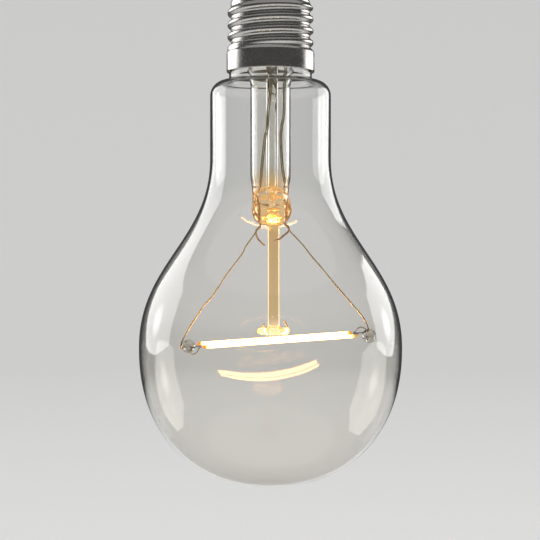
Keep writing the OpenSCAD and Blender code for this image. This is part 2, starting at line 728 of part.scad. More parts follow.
module driver_chip() {
    x = 3;
    z = board_top_z - 9;
    color("dimgray") on_board_back(x, z, [4.9, 1.5, 3.9]);
    color(tinned) for (i = [-1.5:1:1.5], sz = [-1, 1])
        on_board_back(x + i * 1.27, z + sz * 2.45, [0.45, 0.2, 1]);
}

module chip_resistors() {
    color("dimgray") for (x = [1.6, 4.8]) on_board_back(x, board_top_z - 3, [1.6, 0.55, 3.2]);
    color("dimgray") on_board_back(-4.4, board_top_z - 9, [3.2, 0.55, 1.6]);
}

module smoothing_capacitor() {
    x = -board_w / 2 + capacitor_r + 0.6;
    y = board_y - capacitor_r - 0.2;
    low_z = board_top_z - 1.2 - capacitor_h;
    groove_r = 0.25;
    groove_h = 0.9;
    leg = 0.8;
    color("navy") translate([x, y, low_z]) difference() {
        cylinder(h = capacitor_h, r = capacitor_r);
        translate([0, 0, groove_h]) rotate_extrude()
            translate([capacitor_r + 0.05, 0]) circle(groove_r);
    }
    color(tinned) for (s = [-1, 1]) bent_leg([x + s, y, low_z], -leg);
}

module fuse_resistor() {
    leg = 0.9;
    color("saddlebrown") translate([fuse_x, fuse_y, fuse_low_z]) cylinder(h = fuse_l, r = fuse_r);
    color(tinned) {
        bent_leg([fuse_x, fuse_y, fuse_low_z], -leg);
        bent_leg([fuse_x, fuse_y, fuse_low_z + fuse_l], leg);
    }
}

// Thin sleeve that keeps the board off the cap
module insulating_sleeve() {
    wall = 0.3;
    front_y = -exhaust_r - 0.7;
    back_y = board_y + board_t + 2.1;
    half_w = board_w / 2 + loose_gap;
    corner_r = 1.5;
    low_z = board_bottom_z + 0.9;
    high_z = board_top_z + 0.1;
    module outline(grow) {
        for (x = [-1, 1]) translate([x * (half_w - corner_r), 0]) for (y = [front_y, back_y])
            translate([0, y + (y == front_y ? corner_r : -corner_r)]) circle(corner_r + grow);
        translate([-half_w - grow, front_y + corner_r])
            square([2 * (half_w + grow), back_y - front_y - 2 * corner_r]);
        translate([-half_w + corner_r, front_y - grow])
            square([2 * (half_w - corner_r), back_y - front_y + 2 * grow]);
    }
    color("black") translate([0, 0, low_z]) linear_extrude(high_z - low_z) difference() {
        outline(wall);
        outline(0);
    }
}

glass_bulb();
stem_tube();
stem_press();
exhaust_tube();
support_rod();
rod_button();
support_wires();
seal_wire_left();
seal_wire_right();
lead_wire_left();
lead_wire_right();
bead_left();
bead_right();
pigtail_left();
pigtail_right();
filament_strip();
filament_tab_left();
filament_tab_right();
led_chips();
phosphor_upper();
phosphor_lower();
inner_wire_left();
inner_wire_right();
cap_shell();
cap_cement();
cap_insulator();
centre_contact();
side_solder();
live_wire();
neutral_wire();
driver_board();
bridge_rectifier();
driver_chip();
smoothing_capacitor();
fuse_resistor();
chip_resistors();
insulating_sleeve();
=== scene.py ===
import math
import random

import bmesh
import bpy
from mathutils import Euler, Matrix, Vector


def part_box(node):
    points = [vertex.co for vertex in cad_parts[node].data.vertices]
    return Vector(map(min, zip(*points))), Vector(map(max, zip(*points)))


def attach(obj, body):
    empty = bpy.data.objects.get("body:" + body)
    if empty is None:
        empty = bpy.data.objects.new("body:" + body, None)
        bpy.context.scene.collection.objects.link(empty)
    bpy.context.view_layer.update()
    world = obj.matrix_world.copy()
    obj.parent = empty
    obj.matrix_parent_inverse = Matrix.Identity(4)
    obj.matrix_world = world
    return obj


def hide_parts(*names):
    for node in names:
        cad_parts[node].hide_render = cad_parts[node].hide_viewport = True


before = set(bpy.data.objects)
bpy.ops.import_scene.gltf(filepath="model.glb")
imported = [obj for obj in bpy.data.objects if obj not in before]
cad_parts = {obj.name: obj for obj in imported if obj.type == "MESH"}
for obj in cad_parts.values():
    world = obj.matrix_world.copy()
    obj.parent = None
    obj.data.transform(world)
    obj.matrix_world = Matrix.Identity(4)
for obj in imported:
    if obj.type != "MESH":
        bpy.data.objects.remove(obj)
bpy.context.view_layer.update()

mm = 0.001
rng = random.Random(7)


# Places that several pieces share, in mm, from the frame where it gives them
def under(node):
    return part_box(node)[0][2] / mm


def over(node):
    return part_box(node)[1][2] / mm


rimZ = under("cap_shell")
collarTopZ = rimZ + 6
flareZ = rimZ - 4.2
pressZ = over("stem_press")
pressLowZ = under("stem_press")
buttonZ = over("rod_button")
buttonLowZ = under("rod_button")
stemR = 6.13
exhaustX = 0.5
rodX = 0.95
filament = {
    "tilt": math.radians(4.1),
    "at": Vector((2.07, 0, buttonLowZ - 1.63)),
    "stripHalf": 24.9,
    "stripThick": 0.2,  # from its middle
    "coatHalf": 23.8,
    "coatShift": 0.8,  # how far each coat lies off the middle
}


def onFilament(x, y=0.0, z=0.0):
    # a point of the filament's own frame, where X runs along the strip
    c, s = math.cos(filament["tilt"]), math.sin(filament["tilt"])
    return filament["at"] + Vector((x * c - z * s, y, x * s + z * c))


# Outlines and routes
def arc(centre, r, start, end, steps):
    angles = [math.radians(start + (end - start) * i / steps) for i in range(steps + 1)]
    return [(centre[0] + r * math.cos(a), centre[1] + r * math.sin(a)) for a in angles]


def bezier(a, b, c, d, steps):
    points = []
    for i in range(1, steps + 1):
        t = i / steps
        u = 1 - t
        k = (u ** 3, 3 * u * u * t, 3 * u * t * t, t ** 3)
        points.append(tuple(sum(w * p[j] for w, p in zip(k, (a, b, c, d))) for j in (0, 1)))
    return points


def ease(x):
    # from 0 to 1 in a smooth step
    c = min(1, max(0, x))
    return c * c * (3 - 2 * c)


def eased(a, b, s):
    # from a to b as s goes from 0 to 1
    return a + (b - a) * (1 - math.cos(math.pi * s)) / 2


def rounded(route, reach, steps=4, most=0.45):
    # rounds the kinks of a route, each over its reach but at most this share of a stretch
    points = [route[0]]
    for a, b, c in zip(route, route[1:], route[2:]):
        near = b + (a - b).normalized() * min(reach, (a - b).length * most)
        far = b + (c - b).normalized() * min(reach, (c - b).length * most)
        for i in range(steps + 1):
            t = i / steps
            points.append((1 - t) ** 2 * near + 2 * t * (1 - t) * b + t * t * far)
    return points + [route[-1]]


def flowing(route, steps):
    # a smooth route through all its points
    points = []
    last = len(route) - 1
    for i in range(last):
        a, b, c, d = route[max(i - 1, 0)], route[i], route[i + 1], route[min(i + 2, last)]
        for j in range(steps):
            t = j / steps
            points.append(0.5 * (2 * b + (c - a) * t + (2 * a - 5 * b + 4 * c - d) * t * t
                                 + (3 * b - a - 3 * c + d) * t ** 3))
    return points + [route[-1]]


def kinked(a, b, kinks):
    # from a to b, each kink being (share of the way, sideways, towards the back)
    along = b - a
    side = Vector((-along.z, 0, along.x)).normalized()
    return [a] + [a + along * k[0] + side * k[1] + Vector((0, k[2], 0)) for k in kinks] + [b]


# Modelling helpers
crease = 60  # degrees, past which an edge stays hard


def leaveEdit():
    bpy.ops.object.mode_set(mode="OBJECT")


def deselect():
    if bpy.context.mode != "OBJECT":
        leaveEdit()
    bpy.ops.object.select_all(action="DESELECT")


def editAll():
    bpy.ops.object.mode_set(mode="EDIT")
    bpy.ops.mesh.select_all(action="SELECT")


def pick(test, kind="verts"):
    # in edit mode, selects the points, edges or faces that pass the test
    bpy.ops.mesh.select_all(action="DESELECT")
    mesh = bmesh.from_edit_mesh(bpy.context.object.data)
    for part in getattr(mesh, kind):
        if test(part):
            part.select_set(True)
    mesh.select_flush_mode()


def extrude(x, z):
    bpy.ops.mesh.extrude_region_move(TRANSFORM_OT_translate={"value": (x * mm, 0, z * mm)})


def closeUp(step=0.002):
    # merges doubled points and turns the faces outwards
    editAll()
    bpy.ops.mesh.remove_doubles(threshold=step * mm)
    bpy.ops.mesh.select_all(action="SELECT")
    bpy.ops.mesh.normals_make_consistent(inside=False)
    leaveEdit()


def settle(name, angle=None):
    # names the piece, puts its place into its mesh and smooths it
    piece = bpy.context.object
    piece.name = name
    piece.data.name = name
    bpy.ops.object.transform_apply(location=True, rotation=True, scale=True)
    if angle is None:
        bpy.ops.object.shade_smooth()
    else:
        bpy.ops.object.shade_smooth_by_angle(angle=math.radians(angle))
    return piece


def turned(name, outline, at=(0, 0), steps=96, angle=None):
    # spins an outline of (radius, height) points round an upright axis
    deselect()
    start = ((at[0] + outline[0][0]) * mm, at[1] * mm, outline[0][1] * mm)
    bpy.ops.mesh.primitive_plane_add(size=mm, location=start)
    editAll()
    bpy.ops.mesh.merge(type="CENTER")
    for a, b in zip(outline, outline[1:]):
        extrude(b[0] - a[0], b[1] - a[1])
    bpy.ops.mesh.select_all(action="SELECT")
    middle = (at[0] * mm, at[1] * mm, 0)
    bpy.ops.mesh.spin(steps=steps, angle=2 * math.pi, center=middle, axis=(0, 0, 1))
    closeUp()
    return settle(name, angle)


def drawn(name, route, radius, sway=0.0):
    # a wire along a route, its thickness wandering a little
    deselect()
    bpy.ops.curve.primitive_nurbs_path_add()
    curve = bpy.context.object
    spline = curve.data.splines[0]
    spline.type = "POLY"
    spline.points.add(len(route) - len(spline.points))
    for point, spot in zip(spline.points, route):
        point.co = (*(spot * mm), 1)
        point.radius = 1 - sway * rng.random()
    curve.data.bevel_depth = radius * mm
    curve.data.bevel_resolution = 3
    curve.data.use_fill_caps = True
    bpy.ops.object.convert(target="MESH")
    closeUp()
    return settle(name, crease)


def pairWire(kind, side, route):
    # one wire of a pair, such as sealWireLeft for the node seal_wire_left
    piece = drawn(kind["name"] + side.capitalize(), route, kind["r"], kind["sway"])
    place(piece, kind["slot"], kind["finish"], kind["node"] + "_" + side)


def select(*pieces):
    # the first one becomes the active one
    deselect()
    for piece in pieces:
        piece.select_set(True)
    bpy.context.view_layer.objects.active = pieces[0]


def joined(name, pieces):
    select(*pieces)
    bpy.ops.object.join()
    return settle(name, crease)


def fill(thing, values):
    # sets its own properties, and for a node also the sockets of those names
    for key, value in values.items():
        if hasattr(thing, key):
            setattr(thing, key, value)
        else:
            thing.inputs[key.replace("_", " ")].default_value = value


def applyModifier(piece, kind, **settings):
    select(piece)
    modifier = piece.modifiers.new(kind.lower(), kind)
    fill(modifier, settings)
    bpy.ops.object.modifier_apply(modifier=modifier.name)


def cut(piece, tool, operation="DIFFERENCE"):
    applyModifier(piece, "BOOLEAN", operation=operation, object=tool, solver="EXACT")
    bpy.data.objects.remove(tool)


def place(piece, slot, finish, *nodes):
    # gives the piece its finish and says which nodes it stands for
    piece.data.materials.clear()
    piece.data.materials.append(finishes[finish])
    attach(piece, "root")
    if nodes:
        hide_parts(*nodes)


# Finishes
class Nodes:
    def __init__(self, tree):
        self.nodes = tree.nodes
        self.links = tree.links

    def link(self, source, socket):
        # the source is a node, one of its outputs or a plain value
        if isinstance(source, bpy.types.Node):
            source = source.outputs[0]
        if isinstance(source, bpy.types.NodeSocket):
            self.links.new(source, socket)
        else:
            socket.default_value = source

    def add(self, kind, *sources, **values):
        # the sources go into the sockets in their order, the values where their names say
        node = self.nodes.new("ShaderNode" + kind)
        fill(node, values)
        for source, socket in zip(sources, node.inputs):
            self.link(source, socket)
        return node


class Finish(Nodes):
    # a Principled material
    def __init__(self, name, **values):
        self.material = bpy.data.materials.new(name)
        self.material.use_nodes = True
        super().__init__(self.material.node_tree)
        self.shader = self.nodes["Principled BSDF"]
        self.out = self.nodes["Material Output"]
        fill(self.shader, values)

    def spot(self, stretch=(1, 1, 1), turn=(0, 0, 0), shift=(0, 0, 0)):
        # the place on the object, in its own coordinates
        where = self.add("TexCoord").outputs["Object"]
        return self.add("Mapping", where, shift, turn, stretch)

    def noise(self, scale, detail=3.0, stretch=(1, 1, 1)):
        return self.add("TexNoise", self.spot(stretch), Scale=scale, Detail=detail)

    def ramp(self, source, *stops):
        # stops are (position, colour or grey)
        node = self.add("ValToRGB", source)
        elements = node.color_ramp.elements
        while len(elements) < len(stops):
            elements.new(0.5)
        for element, (position, colour) in zip(elements, stops):
            element.position = position
            element.color = (*colour, 1) if isinstance(colour, tuple) else (colour, colour, colour, 1)
        return node

    def feed(self, socket, source):
        self.link(source, self.shader.inputs[socket])

    def bump(self, source, distance):
        # the distance is the height of the relief in mm
        node = self.add("Bump", Strength=1.0, Distance=distance * mm)
        self.link(source, node.inputs["Height"])
        self.feed("Normal", node)

    def show(self, shader):
        # takes the Principled shader's place, and isn't sampled as a lamp
        self.link(shader, self.out.inputs["Surface"])
        self.material.cycles.emission_sampling = "NONE"


def glassFinish(name, depthColour, density, ripple, size, paintedWarmTints=(), glows=()):
    # glass that takes off a little light on the way through it; the painted warm tints in its colour and
    # the painted glows in its emission stand for the filament's light in it, as (height in mm, colour)
    # from the lowest up
    f = Finish(name, Base_Color=(1, 1, 1, 1), Roughness=0.0, IOR=1.5, Transmission_Weight=1.0)
    # painted warm light goes into the glass's colour, and a painted glow into its emission, both by
    # height
    for socket, stops in {"Base Color": paintedWarmTints, "Emission Color": glows}.items():
        if stops:
            low, high = stops[0][0], stops[-1][0]
            height = f.add("SeparateXYZ", f.spot()).outputs["Z"]
            level = f.add("MapRange", height, low * mm, high * mm)
            f.feed(socket, f.ramp(level, *[((z - low) / (high - low), colour) for z, colour in stops]))
    # the painted glow: the glass gives off the filament's light itself, though it is no lamp
    if glows:
        f.shader.inputs["Emission Strength"].default_value = 1.0
        f.material.cycles.emission_sampling = "NONE"
    f.bump(f.noise(size, detail=1.0, stretch=(1, 1, 0.35)), ripple)
    inside = f.add("VolumeAbsorption", Color=(*depthColour, 1), Density=density)
    f.link(inside, f.out.inputs["Volume"])
    return f.material


def wireFinish(name, light, dark, rough, metal=1.0, patches=420, polish=900, grain=2500,
               relief=0.02):
    f = Finish(name, Metallic=metal)
    f.feed("Base Color", f.ramp(f.noise(patches, detail=4), (0.35, dark), (0.65, light)))
    f.feed("Roughness", f.ramp(f.noise(polish), (0.3, rough * 0.8), (0.7, rough * 1.3)))
    f.bump(f.noise(grain), relief)
    return f.material


def platedFinish(name, light, dark, patches=70, polish=260, grain=300, rough=(0.2, 0.34),
                 relief=0.012):
    f = Finish(name, Metallic=1.0)
    f.feed("Base Color", f.ramp(f.noise(patches, detail=5), (0.3, dark), (0.7, light)))
    f.feed("Roughness", f.ramp(f.noise(polish, detail=6), (0.3, rough[0]), (0.75, rough[1])))
    f.bump(f.noise(grain, detail=4, stretch=(1, 1, 14)), relief)
    return f.material


def mattFinish(name, light, dark, rough, scale, relief):
    f = Finish(name, Specular_IOR_Level=0.4)
    f.feed("Base Color", f.ramp(f.noise(scale, detail=5), (0.3, dark), (0.7, light)))
    f.feed("Roughness", f.ramp(f.noise(scale * 2), (0.3, rough * 0.85), (0.7, min(1, rough * 1.15))))
    f.bump(f.noise(scale * 5, detail=4), relief)
    return f.material


glow = {
    "end": 2.6,  # length of a coat's orange end
    "tip": 0.4,  # and of the part that is orange all over
    "side": 0.8,  # height at which its side starts to turn orange
    "sideEnd": 1.12,
    "sideShare": 0.85,
    "strength": 140.0,
    "core": (1.0, 0.56, 0.19),
    "warm": (0.03, 0.011, 0.001),
    "orange": (0.0075, 0.0019, 0.0001),
    "pitch": 1.6,  # from one light-emitting chip to the next
    "between": 0.55,  # how bright it is between two chips
    "light": (0.95, 0.56, 0.1),  # the coat's own colour
    "dark": (0.85, 0.42, 0.06),
    "patches": 900,
    "grain": 1500,
    "relief": 0.03,
}


def phosphorFinish(name, shift):
    # white-hot along the middle, orange at the ends and towards the crown
    f = Finish(name, Roughness=0.6, Emission_Strength=glow["strength"])
    patches = f.noise(glow["patches"], detail=4)
    f.feed("Base Color", f.ramp(patches, (0.3, glow["dark"]), (0.7, glow["light"])))
    turn = (0, filament["tilt"], 0)
    back = Euler(turn).to_matrix() @ -(onFilament(shift) * mm)
    own = f.add("SeparateXYZ", f.spot(turn=turn, shift=tuple(back))).outputs

    def share(axis, start, end):
        # 0 up to the start, away from the coat's middle, and 1 from the end on
        away = f.add("Math", own[axis], operation="ABSOLUTE")
        return f.add("MapRange", away, start * mm, end * mm, interpolation_type="SMOOTHSTEP")

    half = filament["coatHalf"]
    ends = share("X", half - glow["end"], half - glow["tip"])
    sides = share("Z", glow["side"], glow["sideEnd"])
    sides = f.add("Math", sides, glow["sideShare"], operation="MULTIPLY")
    cooler = f.add("Math", ends, sides, operation="MAXIMUM")
    colour = f.ramp(cooler, (0.0, glow["core"]), (0.5, glow["warm"]), (0.9, glow["orange"]))
    wave = f.add("Math", own["X"], 2 * math.pi / (glow["pitch"] * mm), operation="MULTIPLY")
    beat = f.add("Math", wave, operation="SINE")
    chips = f.add("MapRange", beat, -1, 1, glow["between"], 1)
    dots = f.add("VectorMath", colour, operation="SCALE")
    f.link(chips, dots.inputs["Scale"])
    f.feed("Emission Color", dots)
    f.bump(f.noise(glow["grain"]), glow["relief"])
    return f.material


# colour and density of the depth, ripple in mm, size of the ripples, painted warm tints and painted glows
glassTones = {
    # the bulb is painted warmer towards its bottom, near the filament: painted warm light
    "bulbGlass": ((0.52, 0.5, 0.36), 95, 0.05, 34, [
        (-153, (0.995, 0.98, 0.955)), (-120, (0.995, 0.985, 0.965)), (-90, (1, 0.995, 0.985)),
        (-50, (1, 1, 1))]),
    # the stem's amber depth and tints are painted warm light from the filament, and its glows a painted
    # glow at the button and at the press
    "stemGlass": ((0.6, 0.58, 0.42), 24, 0.03, 160, [
        (-107, (1, 0.95, 0.84)), (-101, (0.95, 0.74, 0.45)), (-76, (0.88, 0.6, 0.29)),
        (-67, (0.92, 0.73, 0.44)), (-62, (0.97, 0.9, 0.76)), (-55, (1, 0.995, 0.98))], [
        (-108, (0.4, 0.22, 0.07)), (-105, (0.26, 0.13, 0.036)), (-102, (0.04, 0.02, 0.004)),
        (-76, (0.03, 0.015, 0.003)), (-73.5, (0.12, 0.06, 0.014)), (-66, (0.1, 0.046, 0.01)),
        (-62, (0.05, 0.022, 0.004)), (-58, (0, 0, 0))]),
    # the beads' dark amber depth is painted shade and painted warm light
    "beadGlass": ((0.45, 0.38, 0.24), 210, 0.05, 500),
}
# light and dark tone, roughness, and how metallic where it isn't wholly so
wireTones = {
    "sealWire": ((0.95, 0.62, 0.32), (0.64, 0.36, 0.16), 0.3, 0.6),
    # the lead wires are nickel: their light golden tone is painted warm light from the filament
    "leadWire": ((1.0, 0.78, 0.42), (0.78, 0.52, 0.24), 0.26, 0.8),
    "pigtailWire": ((0.84, 0.72, 0.54), (0.55, 0.42, 0.28), 0.28),
    # the strands' light golden olive is partly the copper's own colour and partly painted warm light
    "copperStrand": ((0.86, 0.72, 0.36), (0.58, 0.46, 0.2), 0.32, 0.4),
    "tinnedTab": ((0.72, 0.71, 0.69), (0.5, 0.49, 0.47), 0.36),
    "contactMetal": ((0.74, 0.73, 0.7), (0.56, 0.55, 0.52), 0.3),
    "solder": ((0.7, 0.7, 0.7), (0.5, 0.5, 0.51), 0.34),
}
# light and dark tone, roughness, scale of the pattern, and height of the relief in mm
mattTones = {
    "ceramic": ((0.9, 0.88, 0.83), (0.84, 0.8, 0.73), 0.45, 500, 0.01),
    "chipCrystal": ((0.8, 0.82, 0.5), (0.6, 0.62, 0.35), 0.2, 900, 0.005),
    "cement": ((0.72, 0.66, 0.56), (0.5, 0.45, 0.37), 0.85, 700, 0.08),
    "blackGlass": ((0.016, 0.015, 0.02), (0.008, 0.008, 0.01), 0.16, 300, 0.02),
    "boardGreen": ((0.04, 0.24, 0.12), (0.02, 0.16, 0.08), 0.4, 600, 0.01),
    "blackMoulding": ((0.035, 0.035, 0.036), (0.02, 0.02, 0.02), 0.55, 900, 0.01),
    "capacitorBlue": ((0.03, 0.05, 0.16), (0.02, 0.03, 0.1), 0.3, 400, 0.005),
    "resistorBrown": ((0.42, 0.25, 0.14), (0.3, 0.17, 0.09), 0.6, 700, 0.02),
    "sleeveBlack": ((0.03, 0.03, 0.035), (0.018, 0.018, 0.02), 0.45, 300, 0.01),
}
finishes = {
    "nickelPlate": platedFinish("nickelPlate", (0.78, 0.765, 0.735), (0.66, 0.64, 0.6)),
    "phosphorUpper": phosphorFinish("phosphorUpper", -filament["coatShift"]),
    "phosphorLower": phosphorFinish("phosphorLower", filament["coatShift"]),
}
for make, tones in ((glassFinish, glassTones), (wireFinish, wireTones), (mattFinish, mattTones)):
    for name, values in tones.items():
        finishes[name] = make(name, *values)
print("finishes made:", len(finishes))


# The glass bulb, a shell with a real wall
bulb = {
    "wall": 0.7,
    "globeR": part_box("glass_bulb")[1][0] / mm,
    "globeZ": rimZ - 83.8,
    "lowZ": under("glass_bulb"),
    "bowlPower": 2.2,  # 2 would make the bowl an ellipse
    "bowlRows": 34,
    "neckR": 18.4,
    "swellZ": rimZ - 26.5,  # where the neck starts to swell
    "globePull": 25.6,
    "neckPull": 24.7,
    "shoulderR": 4.6,
    "shoulderZ": rimZ - 2.7,
    "filletR": 1.2,
    "sealR": 12.6,
    "sealZ": over("glass_bulb"),
    "steps": 160,
}


def bulbSide(inset):
    # half the bulb's outline from the bottom up, so far inside its skin
    b = bulb
    globeR, neckR = b["globeR"] - inset, b["neckR"] - inset
    depth = b["globeZ"] - b["lowZ"] - inset
    power = 2 / b["bowlPower"]
    points = []
    for i in range(b["bowlRows"], -1, -1):
        a = math.pi / 2 * i / b["bowlRows"]
        points.append((globeR * max(0.0, math.cos(a)) ** power,
                       b["globeZ"] - depth * math.sin(a) ** power))
    points[0] = (0.0, points[0][1])
    points += bezier((globeR, b["globeZ"]), (globeR, b["globeZ"] + b["globePull"]),
                     (neckR, b["swellZ"] - b["neckPull"]), (neckR, b["swellZ"]), steps=40)
    shoulder = (b["neckR"] - b["shoulderR"], b["shoulderZ"] - b["shoulderR"])
    points += arc(shoulder, b["shoulderR"] - inset, 0, 90, steps=14)
    fillet = (b["sealR"] + b["filletR"], b["shoulderZ"] + b["filletR"])
    points += arc(fillet, b["filletR"] + inset, 270, 180, steps=8)
    return points + [(b["sealR"] - inset, b["sealZ"])]


glassBulb = turned("glassBulb", bulbSide(0) + bulbSide(bulb["wall"])[::-1], steps=bulb["steps"])
place(glassBulb, "bulb_glass", "bulbGlass", "glass_bulb")
print("glass bulb:", len(glassBulb.data.polygons), "faces")


# The stem is one melted piece: tube, exhaust tube, press, rod and button
stem = {
    "wall": 0.9,
    "bend": 8,
    "jointR": stemR - 0.53,
    "jointThin": 0.29,  # how much thinner its wall is at the joint
    "skinR": (3.4, 9),  # the skins of the soft stub lie between these radii
    "startZ": pressZ + 0.75,  # both tubes' walls start here, inside the soft stubs
    "narrow": 4.6,  # height over which the tube narrows towards the press
    "apart": 0.03,  # keeps its faces clear of the bulb's glass
    "over": 0.07,  # how far a tube's wall starts inside the soft stub, and ends over it
}
exhaust = {
    "r": 1.83,
    "bore": 1.0,
    "foot": [(0.5, -1), (0.1, 0.4), (-0.04, 0.9)],  # beyond its radius, over the press's top
    "sunk": (0.12, 0.45),  # its wall starts so far inside the stub, and is out after so much
    "tip": 0.6,
    "taper": 2.6,
    "plug": (2.2, 0.6),  # the sealed end of its bore
}
press = {
    "wideZ": pressZ - 5.2,
    "wide": 6.1,
    "waist": stemR - 0.68,
    "waistDrop": 1.4,
    "flatten": 0.05,  # how much flatter each row down to the waist is
    "foot": (2.9, 2.2),
    "footRound": 0.7,
    "footAside": 0.1,
    "thick": 3.3,
    "aside": 0.35,  # how far the squeezed part sits to one side
    "stub": 1.3,
    "stubOver": 0.09,
    # the end of the tube's hollow, over the press's top; it sags towards its sides
    "hollow": {"low": 0.3, "dome": 1.2, "flat": 1.6, "round": 1.3, "top": 4, "sag": 3.0, "sagTop": 3},
    "rodR": 1.83,
    "rodSunk": (1.5, 0.8),  # how far the rod goes into the press and the button
    "buttonR": 5.05,
    "holeZ": pressZ - 4.1,
    "holeR": 0.9,
    "holeTop": 3,
    "holeBend": [(0, 1.2), (-0.25, 0.4), (-0.9, 0), (-2, -0.1), (-8, -0.1)],  # depth and height
    "voxel": 0.19,
    "wave": (2.2, 0.55),
    # where it was soft: over the press's top, past its end and over the button's top, and fading
    "softTop": (0.4, 2.5),
    "softEnd": (1.5, 1.5),
    "softButton": (1, 1.2),
    "buttonShare": 0.5,
    "leastSoft": 0.06,
    "lip": (1.14, 0.28),  # the blown hole's rim
    # the skin that carries the rim: in front of this, this near the hole's height, this far aside
    "lipSeat": {"front": -2.5, "level": 0.3, "aside": (1.1, 1.4), "sunk": 0.05},
    # air caught in the soft glass: place from the press's top, half sizes, lean to the front, seed
    "bubbles": [
        ((0.5, 0.0, -8.3), (3.1, 0.26, 2.2), 47, 4),
        ((1.0, -1.5, -5.9), (2.2, 0.2, 0.9), 44, 9),
        ((-4.3, -0.6, -4.4), (0.32, 0.3, 0.9), 10, 5),
        ((4.9, -0.5, -6.2), (0.3, 0.3, 1.2), -8, 11),
        ((-1.9, -2.9, -2.0), (1.3, 0.2, 0.75), 46, 12),
        ((0.5, -3.1, -1.4), (1.2, 0.2, 0.65), 46, 17),
        ((2.7, -2.8, -2.0), (1.0, 0.2, 0.75), 46, 13),
    ],
    # and in the button, from its top
    "buttonBubbles": [
        ((-2.7, -1.5, -1.1), (1.1, 0.16, 0.75), 50, 14),
        ((0.2, -2.6, -1.1), (1.3, 0.16, 0.7), 50, 15),
        ((3.0, -1.2, -1.1), (0.9, 0.16, 0.7), 50, 16),
    ],
}


def ovalLoft(name, rows, sides=48):
    # rows of (height, half width, half depth, sideways), from the top down
    deselect()
    z, rx, ry, x = rows[0]
    centre = (x * mm, 0, z * mm)
    bpy.ops.mesh.primitive_circle_add(vertices=sides, radius=rx * mm, fill_type="NGON", location=centre)
    editAll()
    bpy.ops.transform.resize(value=(1, ry / rx, 1), center_override=centre)
    for a, b in zip(rows, rows[1:]):
        extrude(b[3] - a[3], b[0] - a[0])
        centre = (b[3] * mm, 0, b[0] * mm)
        bpy.ops.transform.resize(value=(b[1] / a[1], b[2] / a[2], 1), center_override=centre)
    closeUp()
    return settle(name)


def pressRows():
    # the stub, the waist and the squeezed part, each in its own number of rows
    p = press
    upper, middle, lower = 5, 8, 12
    stubR = stem["jointR"] + p["stubOver"]
    rows = [(pressZ + p["stub"], stubR, stubR, 0)]
    for i in range(upper + 1):
        s = i / upper
        rx = eased(stem["jointR"], p["waist"], s)
        rows.append((pressZ - p["waistDrop"] * s, rx, rx - p["flatten"] * i, 0))
    low = p["wideZ"] - pressZ + p["waistDrop"]
    for i in range(1, middle + 1):
        s = i / middle
        rows.append((pressZ - p["waistDrop"] + low * s, eased(p["waist"], p["wide"], s),
                     eased(p["waist"] - p["flatten"] * upper, p["thick"], s), p["aside"] * s))
    footX, footY = p["foot"]
    for i in range(1, lower + 1):
        a = math.pi / 2 * i / lower
        c = math.cos(a)
        rows.append((p["wideZ"] - (p["wideZ"] - pressLowZ) * math.sin(a),
                     footX + (p["wide"] - footX) * c,
                     footY + (p["thick"] - footY) * c ** p["footRound"],
                     p["aside"] + p["footAside"] * (1 - c)))
    return rows


def softGlass():
    # the press with its rod and button, and the stubs of both tubes
    p, e, h = press, exhaust, press["hollow"]
    body = ovalLoft("stemGlass", pressRows())
    bore = stem["jointR"] - stem["wall"] + stem["jointThin"]
    low, top, bend = pressZ + h["low"], pressZ + h["top"], h["round"]
    outline = [(0, low + h["dome"]), (bore - h["flat"], low)]
    outline += arc((bore - bend, low + bend), bend, -90, 0, steps=6) + [(bore, top), (0, top)]
    hollow = turned("hollow", outline, steps=48)
    for v in hollow.data.vertices:
        if v.co.z < (pressZ + h["sagTop"]) * mm:
            v.co.z -= h["sag"] * (v.co.x / mm / bore) ** 2 * mm
    cut(body, hollow)
    stubZ = pressZ + p["stub"]
    foot = [(e["r"] + out, pressZ + up) for out, up in e["foot"]]
    core = [(0, foot[0][1])] + foot + [(foot[-1][0], stubZ), (0, stubZ)]
    cut(body, turned("core", core, at=(exhaustX, 0), steps=40), "UNION")
    rodTop, rodLow = pressLowZ + p["rodSunk"][0], buttonZ - p["rodSunk"][1]
    rod = [(0, rodTop), (p["rodR"], rodTop), (p["rodR"], rodLow), (0, rodLow)]
    cut(body, turned("rod", rod, at=(rodX, 0), steps=40), "UNION")
    half = (buttonZ - buttonLowZ) / 2
    rim = arc((p["buttonR"] - half, buttonLowZ + half), half, -90, 90, steps=10)
    button = [(0, buttonLowZ)] + rim + [(0, buttonZ)]
    cut(body, turned("button", button, at=(rodX, 0), steps=48), "UNION")
    drop = p["holeZ"] - pressZ
    route = [(0, p["holeTop"]), (0, 0)] + [(y, drop + z) for y, z in p["holeBend"]]
    cut(body, drawn("hole", [Vector((exhaustX, y, pressZ + z)) for y, z in route], p["holeR"]))
    applyModifier(body, "REMESH", mode="VOXEL", voxel_size=p["voxel"] * mm, use_smooth_shade=True)
    return body


def uneven(body):
    # the press and the button are wavy where they were squeezed soft
    p = press
    size, height = p["wave"]
    group = body.vertex_groups.new(name="soft")
    for v in body.data.vertices:
        z = v.co.z / mm
        squeezed = ease((pressZ + p["softTop"][0] - z) / p["softTop"][1])
        squeezed *= ease((z - pressLowZ + p["softEnd"][0]) / p["softEnd"][1])
        melted = ease((buttonZ + p["softButton"][0] - z) / p["softButton"][1])
        soft = squeezed + p["buttonShare"] * melted
        group.add([v.index], max(soft, p["leastSoft"]), "REPLACE")
    clouds = bpy.data.textures.new("waves", "CLOUDS")
    clouds.noise_scale = size * mm
    clouds.noise_depth = 1
    applyModifier(body, "DISPLACE", texture=clouds, strength=height * mm, mid_level=0.5,
                  vertex_group="soft", texture_coords="LOCAL")
    applyModifier(body, "SMOOTH", factor=0.5, iterations=8)


def skinAt(body, z, smallest, largest, near=0.12):
    # the mean radius of the soft glass at a height, between two radii
    radii = [v.co.xy.length / mm for v in body.data.vertices if abs(v.co.z / mm - z) < near]
    radii = [r for r in radii if smallest < r < largest]
    return sum(radii) / len(radii)


